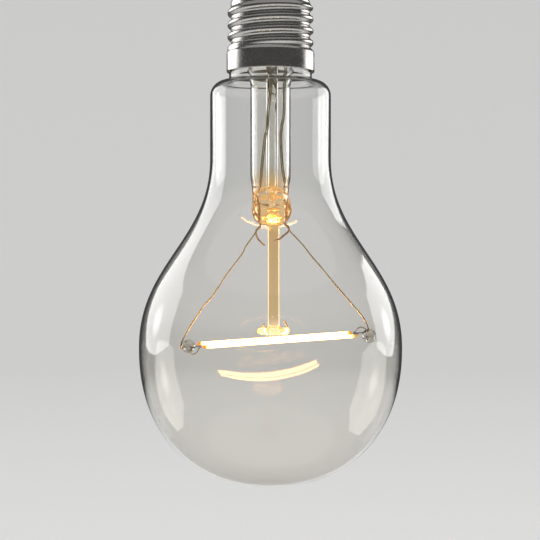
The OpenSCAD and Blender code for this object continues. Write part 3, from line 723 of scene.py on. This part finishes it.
def longTubes(body):
    # both tubes grow out of the soft stubs, flush with them
    s, e = stem, exhaust
    centre = (stemR + s["bend"], flareZ)
    angle = math.degrees(math.acos((centre[0] - bulb["sealR"] + bulb["wall"]) / s["bend"]))
    back = s["bend"] + s["wall"]
    low, stub, top = s["startZ"], pressZ + press["stub"], pressZ + s["narrow"]
    split = s["jointR"] - s["wall"] / 2
    outer = skinAt(body, low, split, s["skinR"][1])
    inner = skinAt(body, low, s["skinR"][0], split)
    rows = 12
    heights = [low + (top - low) * i / rows for i in range(rows + 1)]

    def lap(z):
        return s["over"] * min(2 * (z - low) / (stub - low) - 1, (top - z) / (top - stub))

    def innerR(z):
        return eased(inner, stemR - s["wall"], max(0, (z - stub) / (top - stub)))

    outside = [(eased(outer, stemR, (z - low) / (top - low)) + lap(z), z) for z in heights]
    outside += arc(centre, s["bend"], 180, 180 - angle, steps=22)
    outside += [(bulb["sealR"], bulb["sealZ"] + s["apart"])]
    inside = [(innerR(z) - lap(z), z) for z in heights]
    inside += arc(centre, back, 180, 180 - angle, steps=22)
    inside += [(bulb["sealR"], flareZ + back * math.sin(math.radians(angle)))]
    outline = outside + inside[::-1]
    cut(body, turned("tube", outline + outline[:1], steps=88), "UNION")
    tipZ = over("exhaust_tube")
    sunk, out = e["sunk"]
    plug, cone = e["plug"]
    points = [(e["bore"], low), (e["r"] - sunk, low), (e["r"], low + out), (e["r"], tipZ - e["taper"])]
    points += arc((0, tipZ - e["tip"]), e["tip"], 20, 90, steps=8)[:-1]
    points += [(0, tipZ), (0, tipZ - plug), (e["bore"], tipZ - e["taper"] - cone), points[0]]
    cut(body, turned("exhaust", points, at=(exhaustX, 0), steps=40), "UNION")


def bubble(at, size, lean, seed, zero=(0, 0, 0), lump=0.07):
    # a void inside the glass, its faces turned to the air in it; the lumps are on a 1 mm ball
    deselect()
    centre = (Vector(zero) + Vector(at)) * mm
    bpy.ops.mesh.primitive_ico_sphere_add(subdivisions=4, radius=mm, location=centre)
    editAll()
    bpy.ops.transform.vertex_random(offset=lump * mm, uniform=0.0, normal=0.9, seed=seed)
    bpy.ops.mesh.vertices_smooth(factor=0.5, repeat=3)
    bpy.ops.mesh.flip_normals()
    leaveEdit()
    piece = bpy.context.object
    piece.scale = size
    piece.rotation_euler = (math.radians(lean), 0, 0)
    return settle("bubble")


def holeLip(body):
    # the thick rim of the blown hole
    p, seat = press, press["lipSeat"]
    big, small = p["lip"]
    near, far = seat["aside"]

    def carries(v):
        return (v.co.y < seat["front"] * mm and abs(v.co.z / mm - p["holeZ"]) < seat["level"]
                and near < abs(v.co.x / mm - exhaustX) < far)

    deselect()
    front = max(v.co.y for v in body.data.vertices if carries(v))
    bpy.ops.mesh.primitive_torus_add(
        major_radius=big * mm, minor_radius=small * mm, major_segments=32, minor_segments=12,
        location=(exhaustX * mm, front + seat["sunk"] * mm, p["holeZ"] * mm),
        rotation=(math.pi / 2, 0, 0))
    cut(body, settle("lip"), "UNION")


def stemGlass():
    body = softGlass()
    uneven(body)
    holeLip(body)
    longTubes(body)
    closeUp(0.01)
    # no faces are turned after this, because the voids' faces look into them
    voids = [bubble(*b, (0, 0, pressZ)) for b in press["bubbles"]]
    voids += [bubble(*b, (rodX, 0, buttonZ)) for b in press["buttonBubbles"]]
    joined("stemGlass", [body] + voids)
    place(body, "stem_glass", "stemGlass",
          "stem_tube", "stem_press", "exhaust_tube", "support_rod", "rod_button")
    print("stem glass:", len(body.data.polygons), "faces")


stemGlass()


# The wire ends in the button
supports = {
    "r": 0.22,
    "sway": 0.1,
    # from the middle of the button's top
    "left": [(-4.242, 0, -1.1), (-3.6, 0.1, -0.1), (-3.2, 0, 0.5), (-2.8, 0, 1.1)],
    "right": [(4.545, 0, -1.2), (4.2, -0.1, 0.3), (3.6, 0, 1.2), (3.2, 0, 2.1)],
}
wires = []
for side in ("left", "right"):
    route = [Vector((rodX + x, y, buttonZ + z)) for x, y, z in supports[side]]
    wires.append(drawn("wire", flowing(route, 4), supports["r"], supports["sway"]))
place(joined("supportWires", wires), "nickel_wire", "leadWire", "support_wires")


# The seal wires: where each comes down through the press, and its bent tail
seal = {
    "name": "sealWire", "node": "seal_wire", "slot": "seal_wire", "finish": "sealWire",
    "r": 0.3,
    "sway": 0.08,
    "topZ": pressZ + 2.3,
    "left": {
        "x": -3.1,
        "outZ": pressLowZ - 0.2,
        "tail": [(-1.2, 0.1, -1.3), (-1.3, 0.4, -2.4), (-0.8, 0.9, -4), (0.4, 1.3, -5.4),
                 (1.3, 1.5, -6.1)],
    },
    "right": {
        "x": 4.4,
        "outZ": pressLowZ + 0.6,
        "tail": [(0.85, 0, -1.1), (1.3, -0.2, -2), (0.85, -0.8, -2.9), (-0.45, -1.7, -4),
                 (-1.65, -2.4, -5), (-3.05, -2.75, -5.6)],
    },
}
for side in ("left", "right"):
    s = seal[side]
    start, end = [Vector((s["x"], 0, z)) for z in (seal["topZ"], s["outZ"])]
    tail = [end + Vector(point) for point in s["tail"]]
    pairWire(seal, side, flowing([start, (start + end) / 2, end] + tail, 5))

# The lead wires from the seal wires to the beads, with the kinks that they were bent with
bead = {
    "r": 2.25,
    "melt": 0.97,  # of its radius, before it is made lumpy
    "lump": 0.16,
    "leftGap": 0.03,  # from the strip's end
    "rightGap": 0.85,
    "rightDrop": 0.75,
    "bubbles": (0.55, 0.42, 0.3, 0.26),
    "bubbleFlat": 0.8,
    "bubbleOut": 0.75,  # how far out they reach
    "bubbleLean": 40,
}
beadAt = {
    "left": onFilament(-filament["stripHalf"] - bead["r"] - bead["leftGap"]),
    "right": onFilament(filament["stripHalf"] + bead["r"] + bead["rightGap"], z=-bead["rightDrop"]),
}
leads = {
    "name": "leadWire", "node": "lead_wire", "slot": "nickel_wire", "finish": "leadWire",
    "r": 0.25,
    "sway": 0.12,
    "kinkR": 0.7,
    # the start is the weld on the seal wire, the ends are shares of the bead's radius
    "left": {
        "start": (seal["left"]["x"] - 0.25, -0.62, pressLowZ - 0.35),
        "ends": [(-0.95, 0, 0.55), (-1.1, 0, -0.33)],
        "kinks": [(0.073, 0.2, 0), (0.195, 0, 0.1), (0.222, 0.45, 0.1), (0.318, 0.27, 0.1),
                  (0.437, -0.06, 0.3), (0.507, 0.08, 0.4), (0.627, 0, 0.3), (0.7, -0.56, 0.3),
                  (0.872, -0.47, 0.1), (0.944, -0.24, 0)],
    },
    "right": {
        "start": (seal["right"]["x"] + 0.4, 0.62, pressLowZ + 0.3),
        "ends": [(-0.1, 0, 1.19), (-0.04, 0, 0.4)],
        "kinks": [(0.053, -0.57, 0), (0.198, -0.07, 0), (0.318, -0.16, -0.2), (0.436, 0.04, -0.3),
                  (0.595, 0.08, -0.2), (0.764, 0.4, -0.1), (0.927, 0.61, 0)],
    },
}
for side in ("left", "right"):
    s = leads[side]
    near, last = [beadAt[side] + bead["r"] * Vector(end) for end in s["ends"]]
    route = kinked(Vector(s["start"]), near, s["kinks"]) + [last]
    pairWire(leads, side, rounded(route, leads["kinkR"]))


# The glass beads, lumpy as they were melted
def glassBead(side, seed):
    deselect()
    at, r = beadAt[side], bead["r"]
    bpy.ops.mesh.primitive_ico_sphere_add(subdivisions=3, radius=r * bead["melt"] * mm, location=at * mm)
    editAll()
    bpy.ops.transform.vertex_random(offset=bead["lump"] * mm, uniform=0.0, normal=0.6, seed=seed)
    bpy.ops.mesh.vertices_smooth(factor=0.5, repeat=1)
    leaveEdit()
    applyModifier(bpy.context.object, "SUBSURF", levels=2, render_levels=2)
    pieces = [settle("bead" + side.capitalize())]
    chance = random.Random(seed)
    lean = bead["bubbleLean"]
    for size in bead["bubbles"]:
        way = Vector([chance.uniform(-1, 1) for i in range(3)]).normalized()
        sizes = (size, size * bead["bubbleFlat"], size)
        centre = at + way * (r * bead["bubbleOut"] - size)
        pieces.append(bubble(centre, sizes, chance.uniform(-lean, lean), seed))
    place(joined(pieces[0].name, pieces), "bead_glass", "beadGlass", "bead_" + side)


glassBead("left", 3)
glassBead("right", 8)
print("beads made")

# The thin wires between the beads and the filament's tabs
pigtails = {
    "name": "pigtail", "node": "pigtail", "slot": "nickel_wire", "finish": "pigtailWire",
    "r": 0.17,
    "sway": 0.1,
    # the first two points are shares of the bead's radius, the others lie round the weld
    "left": {
        "inBead": [(0.36, -0.46, 0.05), (0.42, -0.5, -0.9)],
        "leaves": (0.35, -0.1, -0.35),
        "weld": onFilament(-23.75, 0, -0.72),
        "nearWeld": [(-1.1, -0.6, -1.55), (-0.5, -0.25, -0.6), (0, 0, 0), (0.45, 0, 0.03)],
    },
    "right": {
        "inBead": [(-0.15, -0.4, 0.5), (-0.52, -0.5, 0.95)],
        "leaves": (-0.45, -0.1, 0.25),
        "weld": onFilament(23.85, 0, 0.68),
        "nearWeld": [(1.5, -0.6, 1.5), (0.5, -0.25, 0.75), (0, 0, 0), (-0.45, 0, -0.03)],
    },
}
for side in ("left", "right"):
    s = pigtails[side]
    route = [beadAt[side] + bead["r"] * Vector(point) for point in s["inBead"]]
    route += [route[-1] + Vector(s["leaves"])] + [s["weld"] + Vector(point) for point in s["nearWeld"]]
    pairWire(pigtails, side, flowing(route, 5))


# The filament's coats, half-round with round ends and an uneven skin
coat = {"r": 1.0, "h": 0.9, "cuts": 70, "skin": 0.2, "lump": 0.04}


def phosphorCoat(name, side, seed, node):
    c = coat
    base = c["r"] - c["h"]
    reach = filament["coatHalf"] - c["r"]
    deselect()
    bpy.ops.mesh.primitive_uv_sphere_add(segments=28, ring_count=14, radius=c["r"] * mm,
                                         rotation=(0, math.pi / 2, 0))
    bpy.ops.object.transform_apply(rotation=True)
    editAll()
    bpy.ops.mesh.bisect(plane_co=(0, 0, base * mm), plane_no=(0, 0, 1), clear_inner=True, use_fill=True,
                        threshold=0.001 * mm)
    for way in (1, -1):
        pick(lambda v: v.co.x * way > 0.01 * mm)
        bpy.ops.transform.translate(value=(way * reach * mm, 0, 0))
    # the long edges between the two ends get the cuts
    bpy.ops.mesh.select_mode(type="EDGE")
    pick(lambda e: abs(e.verts[0].co.x - e.verts[1].co.x) > reach * 0.5 * mm, "edges")
    bpy.ops.mesh.subdivide(number_cuts=c["cuts"])
    bpy.ops.mesh.select_mode(type="VERT")
    pick(lambda v: v.co.z > (base + c["skin"]) * mm)
    bpy.ops.transform.vertex_random(offset=c["lump"] * mm, uniform=0.0, normal=0.8, seed=seed)
    bpy.ops.mesh.vertices_smooth(factor=0.5, repeat=2)
    leaveEdit()
    piece = bpy.context.object
    piece.scale = (1, 1, side)
    piece.rotation_euler = (0, -filament["tilt"], 0)
    up = side * (filament["stripThick"] - c["r"] + c["h"])
    piece.location = onFilament(-side * filament["coatShift"], 0, up) * mm
    settle(name, 50)
    closeUp()
    place(piece, "phosphor", name, node)


phosphorCoat("phosphorUpper", 1, 5, "phosphor_upper")
phosphorCoat("phosphorLower", -1, 6, "phosphor_lower")
print("filament made")

# The doubled wires inside the stem, from the seal wires up
strand = {
    "r": 0.22,
    "sway": 0.1,
    "gap": 0.03,  # each keeps so far from the pair's middle
    "left": [(-3.1, 0, 2.42), (-2.9, -0.2, 3.4), (-2.5, -1.4, 8), (-1.6, -2.6, 16), (-1, -2.8, 18.6),
             (-0.6, -2.8, 25), (0.2, -2.8, 32.4), (-0.8, -2.8, 36), (-2.9, -1.6, 39), (-3.6, 1, 41.9),
             (-3.4, 3.63, 43.1)],
    "right": [(4.4, 0, 2.42), (4.2, 0, 3.6), (3.6, 0.3, 8), (3.2, 0.4, 16), (3.5, 0.3, 20),
              (4.2, 0.2, 24), (4.3, 0.2, 32.4), (4.8, 0.9, 37), (4.6, 2, 41.3), (4.2, 3.63, 43.1)],
}


def innerWire(side):
    path = flowing([Vector((x, y, pressZ + h)) for x, y, h in strand[side]], 6)
    strands = []
    for way in (-1, 1):
        points = []
        for i, p in enumerate(path):
            along = path[min(i + 1, len(path) - 1)] - path[max(i - 1, 0)]
            across = Vector((0, 1, 0)).cross(along.normalized()).normalized()
            points.append(p + way * (strand["r"] + strand["gap"]) * across)
        strands.append(drawn("strand", points, strand["r"], strand["sway"]))
    name = "innerWire" + side.capitalize()
    place(joined(name, strands), "copper_wire", "copperStrand", "inner_wire_" + side)


innerWire("left")
innerWire("right")
print("wires made")

# The cap: plain collar, rolled thread and rolled lip, in thin sheet metal
cap = {
    "collarR": 13.4,
    "rim": [(0, -0.12), (0.08, -0.03), (0.25, 0)],  # up and outwards from the collar's low edge
    "plain": 5.5,
    "plainRows": 8,
    "shoulder": [(-0.2, -0.02), (-0.08, -0.08)],  # and from its top edge
    "collarSunk": 0.15,
    "crest": 13.15,
    "root": 12.05,
    "pitch": 3.629,
    "runs": (1.6, 1.8),  # heights over which the thread grows, at the collar and at the lip
    "wall": 0.3,
    "lipOut": 0.1,
    "lipR": 1.2,
    "lipTopZ": -4.9,
    "lipEdge": (-0.06, -0.12),
    "steps": 144,
    "rowsPerPitch": 16,
}


def threadHeight(turn):
    # 1 on the crest and 0 in the root, in two tangent arcs
    c = cap
    half = (c["crest"] - c["root"]) / 2
    r = (half ** 2 + (c["pitch"] / 4) ** 2) / (2 * half)
    x = abs(turn - round(turn)) * c["pitch"]
    if x < c["pitch"] / 4:
        return 1 - (r - math.sqrt(r * r - x * x)) / (2 * half)
    return (r - math.sqrt(r * r - (c["pitch"] / 2 - x) ** 2)) / (2 * half)


def capRows():
    # the shell's rows from the rim up, as (height, radius), and how much thread each carries
    c = cap
    topZ = c["lipTopZ"] - c["lipR"]
    sunk, top = c["collarR"] - c["collarSunk"], c["root"] + c["lipOut"]
    rows = [(rimZ + up, c["collarR"] + out) for up, out in c["rim"]]
    rows += [(rimZ + c["plain"] * i / c["plainRows"], c["collarR"]) for i in range(1, c["plainRows"] + 1)]
    rows += [(collarTopZ + up, c["collarR"] + out) for up, out in c["shoulder"]]
    count = round((topZ - collarTopZ) / c["pitch"] * c["rowsPerPitch"])
    threads = {}
    for i in range(count + 1):
        z = collarTopZ + (topZ - collarTopZ) * i / count
        share = ease((z - collarTopZ) / c["runs"][0]) * ease((topZ - z) / c["runs"][1])
        plain = sunk if z < (collarTopZ + topZ) / 2 else top
        threads[len(rows)] = share
        rows.append((z, plain + (c["root"] - plain) * share))
    lip = arc((top - c["lipR"], topZ), c["lipR"], 0, 90, steps=6)[1:]
    rows += [(z, r) for r, z in lip]
    edgeOut, edgeUp = c["lipEdge"]
    return rows + [(c["lipTopZ"] + edgeUp, top - c["lipR"] + edgeOut)], threads


def capShell():
    c = cap
    rows, threads = capRows()
    deselect()
    bpy.ops.mesh.primitive_circle_add(vertices=c["steps"], radius=rows[0][1] * mm,
                                      location=(0, 0, rows[0][0] * mm))
    bpy.ops.object.transform_apply(location=True)
    editAll()
    for a, b in zip(rows, rows[1:]):
        extrude(0, b[0] - a[0])
        bpy.ops.transform.resize(value=(b[1] / a[1], b[1] / a[1], 1), center_override=(0, 0, 0))
    bpy.ops.mesh.select_all(action="SELECT")
    bpy.ops.mesh.normals_make_consistent(inside=False)
    leaveEdit()
    piece = bpy.context.object
    for v in piece.data.vertices:
        # the nearest row, and of two at one height the one with thread
        off = [abs(z * mm - v.co.z) + (0 if i in threads else 1e-7) for i, (z, r) in enumerate(rows)]
        row = off.index(min(off))
        if row in threads:
            turn = rows[row][0] / c["pitch"] - math.atan2(v.co.y, v.co.x) / (2 * math.pi)
            out = Vector((v.co.x, v.co.y, 0)).normalized()
            v.co += out * threads[row] * threadHeight(turn) * (c["crest"] - c["root"]) * mm
    applyModifier(piece, "SOLIDIFY", thickness=c["wall"] * mm, offset=-1, use_even_offset=True)
    settle("capShell", crease)
    closeUp()
    place(piece, "nickel_plate", "nickelPlate", "cap_shell")
    print("cap:", len(piece.data.polygons), "faces")


capShell()

# The black insulator and the contact riveted through it, as (radius, height)
insulator = {
    "body": [(1.52, -7.4), (11.35, -7.4), (11.57, -7.32), (11.65, -7.1), (11.65, -6.3)],
    "flange": (10.85, -6.3),
    "flangeR": 0.8,
    "mouth": [(10.85, -5.2), (10.8, -4.8), (10.5, -4.55)],
    "cone": [(9.45, -3.8), (7.1, -2), (5.65, -1.36)],
    "land": [(5.4, -1.3), (1.52, -1.3), (1.52, -7.4)],
}
contact = {
    "crown": [(3.2, 0), (3.9, 0), (4.55, -0.25), (4.8, -0.75)],
    "shank": [(4.8, -1.15), (4.68, -1.28), (1.5, -1.28), (1.5, -7.9), (0, -7.9)],
}


def capTop():
    s = insulator
    outline = s["body"] + arc(s["flange"], s["flangeR"], 15, 90, steps=8) + s["mouth"]
    outline += bezier(outline[-1], *s["cone"], steps=12) + s["land"]
    piece = turned("capInsulator", outline, angle=40)
    place(piece, "black_glass", "blackGlass", "cap_insulator")
    crown = contact["crown"]
    outline = [(0, 0), crown[0]] + bezier(*crown, steps=8) + contact["shank"]
    piece = turned("centreContact", outline, steps=64, angle=50)
    place(piece, "contact_metal", "contactMetal", "centre_contact")


capTop()
print("cap's top made")

# The pieces whose shape is already right get their finishes
nodeFinishes = {
    "filament_strip": "ceramic",
    "filament_tab_left": "tinnedTab",
    "filament_tab_right": "tinnedTab",
    "led_chips": "chipCrystal",
    "cap_cement": "cement",
    "side_solder": "solder",
    "live_wire": "copperStrand",
    "neutral_wire": "copperStrand",
    "driver_board": "boardGreen",
    "bridge_rectifier": "blackMoulding",
    "driver_chip": "blackMoulding",
    "smoothing_capacitor": "capacitorBlue",
    "fuse_resistor": "resistorBrown",
    "chip_resistors": "blackMoulding",
    "insulating_sleeve": "sleeveBlack",
}
for node, name in nodeFinishes.items():
    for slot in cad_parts[node].material_slots:
        slot.material = finishes[name]
print("finishes on the frame's own nodes:", len(nodeFinishes))

# Camera, floor and light
view = {
    "distance": 0.462,
    "height": -0.0873,
    "aside": -0.00015,
    "pixels": 540,
    "pixelSize": 0.000305,
    "sensor": 36,
    "nearest": 0.01,
}


def camera():
    v = view
    at = (v["aside"], -v["distance"], v["height"])
    bpy.ops.object.camera_add(location=at, rotation=(math.pi / 2, 0, 0))
    eye = bpy.context.object
    eye.name = "camera"
    eye.data.sensor_width = v["sensor"]
    eye.data.lens = v["sensor"] * v["distance"] / (v["pixels"] * v["pixelSize"])
    eye.data.clip_start = v["nearest"]
    bpy.context.scene.camera = eye


studio = {
    "floorZ": -0.2,
    "floorR": 1.3,
    "sweepR": 0.7,
    "wallTop": 1.4,
    "pale": (0.5, 0.5, 0.495),
    "grain": 0.4,  # what the floor gives back of the light on it
    "world": 0.35,
    "worldSeen": 0.596,  # beyond the wall's top edge, in the wall's own tone
    "drape": [(0.2, -0.198), (0.9, -0.198), (1.1, 0.002), (1.1, 1.0)],  # radius and height
    "drapePale": 0.68,
    "drapeGrey": 0.06,
    "drapeFade": (0.3, 0.62),  # how far out it turns from the floor's tone to dark
    "cardAway": 0.9,
    "cardLight": 1.9,
    "cardHot": 4.0,
    "cardSpot": 0.16,  # size of its hot middle
    "cardCrossings": 5,  # the globe alone has four, so the cards show through the rod and the tubes
    # corners of the soft light cards, as degrees round the bulb and up, seen from its middle
    "cards": {
        "cardLeft": [(-96, -20), (-111, -24), (-130, -10), (-147, 12),
                     (-146, 22), (-126, 34), (-101, 29), (-96, 18)],
        "cardRight": [(103, -20), (112, -22), (128, -8), (148, 10),
                      (147, 19), (130, 27), (108, 24), (103, 14)],
    },
    "lamp": {"at": (0.1, -0.4, 0.8), "aim": (0, 0, -0.09), "size": 0.7, "power": 5.0},
    "bounces": {"max_bounces": 28, "transmission_bounces": 28, "glossy_bounces": 12,
                "transparent_max_bounces": 16},
}


def onStage(piece, f):
    piece.data.materials.append(f.material)


def floor():
    s = studio
    low, r, sweep = s["floorZ"], s["floorR"], s["sweepR"]
    outline = [(0, low), (r * 0.5, low)] + arc((r, low + sweep), sweep, -90, 0, steps=16)
    outline += [(r + sweep, s["wallTop"])]
    piece = turned("floor", [(x / mm, z / mm) for x, z in outline], steps=64)
    # seen, mirrored and through glass it is pale at any light level, with its shadows
    f = Finish("paleFloor", Base_Color=(s["grain"],) * 3 + (1,), Roughness=0.9, Specular_IOR_Level=0.0)
    path = f.add("LightPath").outputs
    seen = f.add("Math", path["Is Camera Ray"], path["Is Glossy Ray"], operation="MAXIMUM")
    seen = f.add("Math", seen, path["Is Transmission Ray"], operation="MAXIMUM")
    lit = f.add("AddShader", f.shader, f.add("Emission", (*s["pale"], 1), 1.0))
    shown = f.add("MixShader", seen, f.shader, lit)
    behind = f.add("NewGeometry").outputs["Backfacing"]
    f.show(f.add("MixShader", behind, shown, f.add("BsdfTransparent")))
    editAll()
    bpy.ops.mesh.flip_normals()
    leaveEdit()
    onStage(piece, f)


def toward(azimuth, elevation):
    a, e = math.radians(azimuth), math.radians(elevation)
    return Vector((math.sin(a) * math.cos(e), -math.cos(a) * math.cos(e), math.sin(e)))


def unseenGlow(piece, f, strength, crossings=99):
    # white light that shows only in reflections, and after so many crossings of glass
    path = f.add("LightPath").outputs
    mirrored = f.add("Math", path["Glossy Depth"], 0.5, operation="GREATER_THAN")
    through = f.add("Math", path["Transmission Depth"], crossings - 0.5, operation="GREATER_THAN")
    either = f.add("Math", mirrored, through, operation="MAXIMUM")
    white = f.add("Emission", (1, 1, 1, 1), strength)
    f.show(f.add("MixShader", either, f.add("BsdfTransparent"), white))
    onStage(piece, f)


def drapes():
    # a dark ring round the set, which draws the edges of the glass and the metal
    s = studio
    piece = turned("drapes", [(x / mm, z / mm) for x, z in s["drape"]], steps=48)
    f = Finish("drapes")
    away = f.add("VectorMath", f.spot(), operation="LENGTH").outputs["Value"]
    near, far = s["drapeFade"]
    fade = f.add("MapRange", away, near, far, s["drapePale"], s["drapeGrey"],
                 interpolation_type="SMOOTHSTEP")
    unseenGlow(piece, f, fade)


def card(name, corners):
    # a flat card that faces the bulb, and shows in its reflections and through its thick glass
    s = studio
    directions = [toward(*corner) for corner in corners]
    facing = sum(directions, Vector()).normalized()
    bulbMiddle = Vector((0, 0, view["height"]))
    deselect()
    bpy.ops.mesh.primitive_circle_add(vertices=len(corners), radius=0.1, fill_type="NGON")
    piece = bpy.context.object
    for v, direction in zip(piece.data.vertices, directions):
        v.co = bulbMiddle + direction / direction.dot(facing) * s["cardAway"]
    piece.name = name
    f = Finish(name)
    hot = bulbMiddle + facing * s["cardAway"]
    away = f.add("VectorMath", f.spot(), hot, operation="DISTANCE").outputs["Value"]
    fade = f.add("MapRange", away, 0.0, s["cardSpot"], s["cardHot"], s["cardLight"],
                 interpolation_type="SMOOTHERSTEP")
    unseenGlow(piece, f, fade, s["cardCrossings"])


def softbox():
    s = studio["lamp"]
    bpy.ops.object.light_add(type="AREA", location=s["at"])
    lamp = bpy.context.object
    lamp.name = "softboxTop"
    lamp.data.shape = "RECTANGLE"
    lamp.data.size = lamp.data.size_y = s["size"]
    lamp.data.energy = s["power"]
    lamp.rotation_euler = (Vector(s["aim"]) - Vector(s["at"])).to_track_quat("-Z", "Y").to_euler()
    lamp.visible_glossy = False
    lamp.visible_transmission = False


def surroundings():
    # even light from all round, in the wall's tone where it is seen itself
    world = bpy.data.worlds.new("studio")
    bpy.context.scene.world = world
    world.use_nodes = True
    w = Nodes(world.node_tree)
    path = w.add("LightPath").outputs
    seen = w.add("Math", path["Is Camera Ray"], path["Is Transmission Ray"], operation="MAXIMUM")
    seen = w.add("Math", seen, path["Glossy Depth"], operation="SUBTRACT")
    tone = w.add("MapRange", seen, 0, 1, studio["world"], studio["worldSeen"])
    background = w.nodes["Background"]
    background.inputs["Color"].default_value = (1, 1, 1, 1)
    w.link(tone, background.inputs["Strength"])


deselect()
camera()
floor()
surroundings()
drapes()
for name, corners in studio["cards"].items():
    card(name, corners)
softbox()
scene = bpy.context.scene
scene.view_settings.view_transform = "Standard"
fill(scene.cycles, studio["bounces"])
deselect()
print("camera, floor and light set")
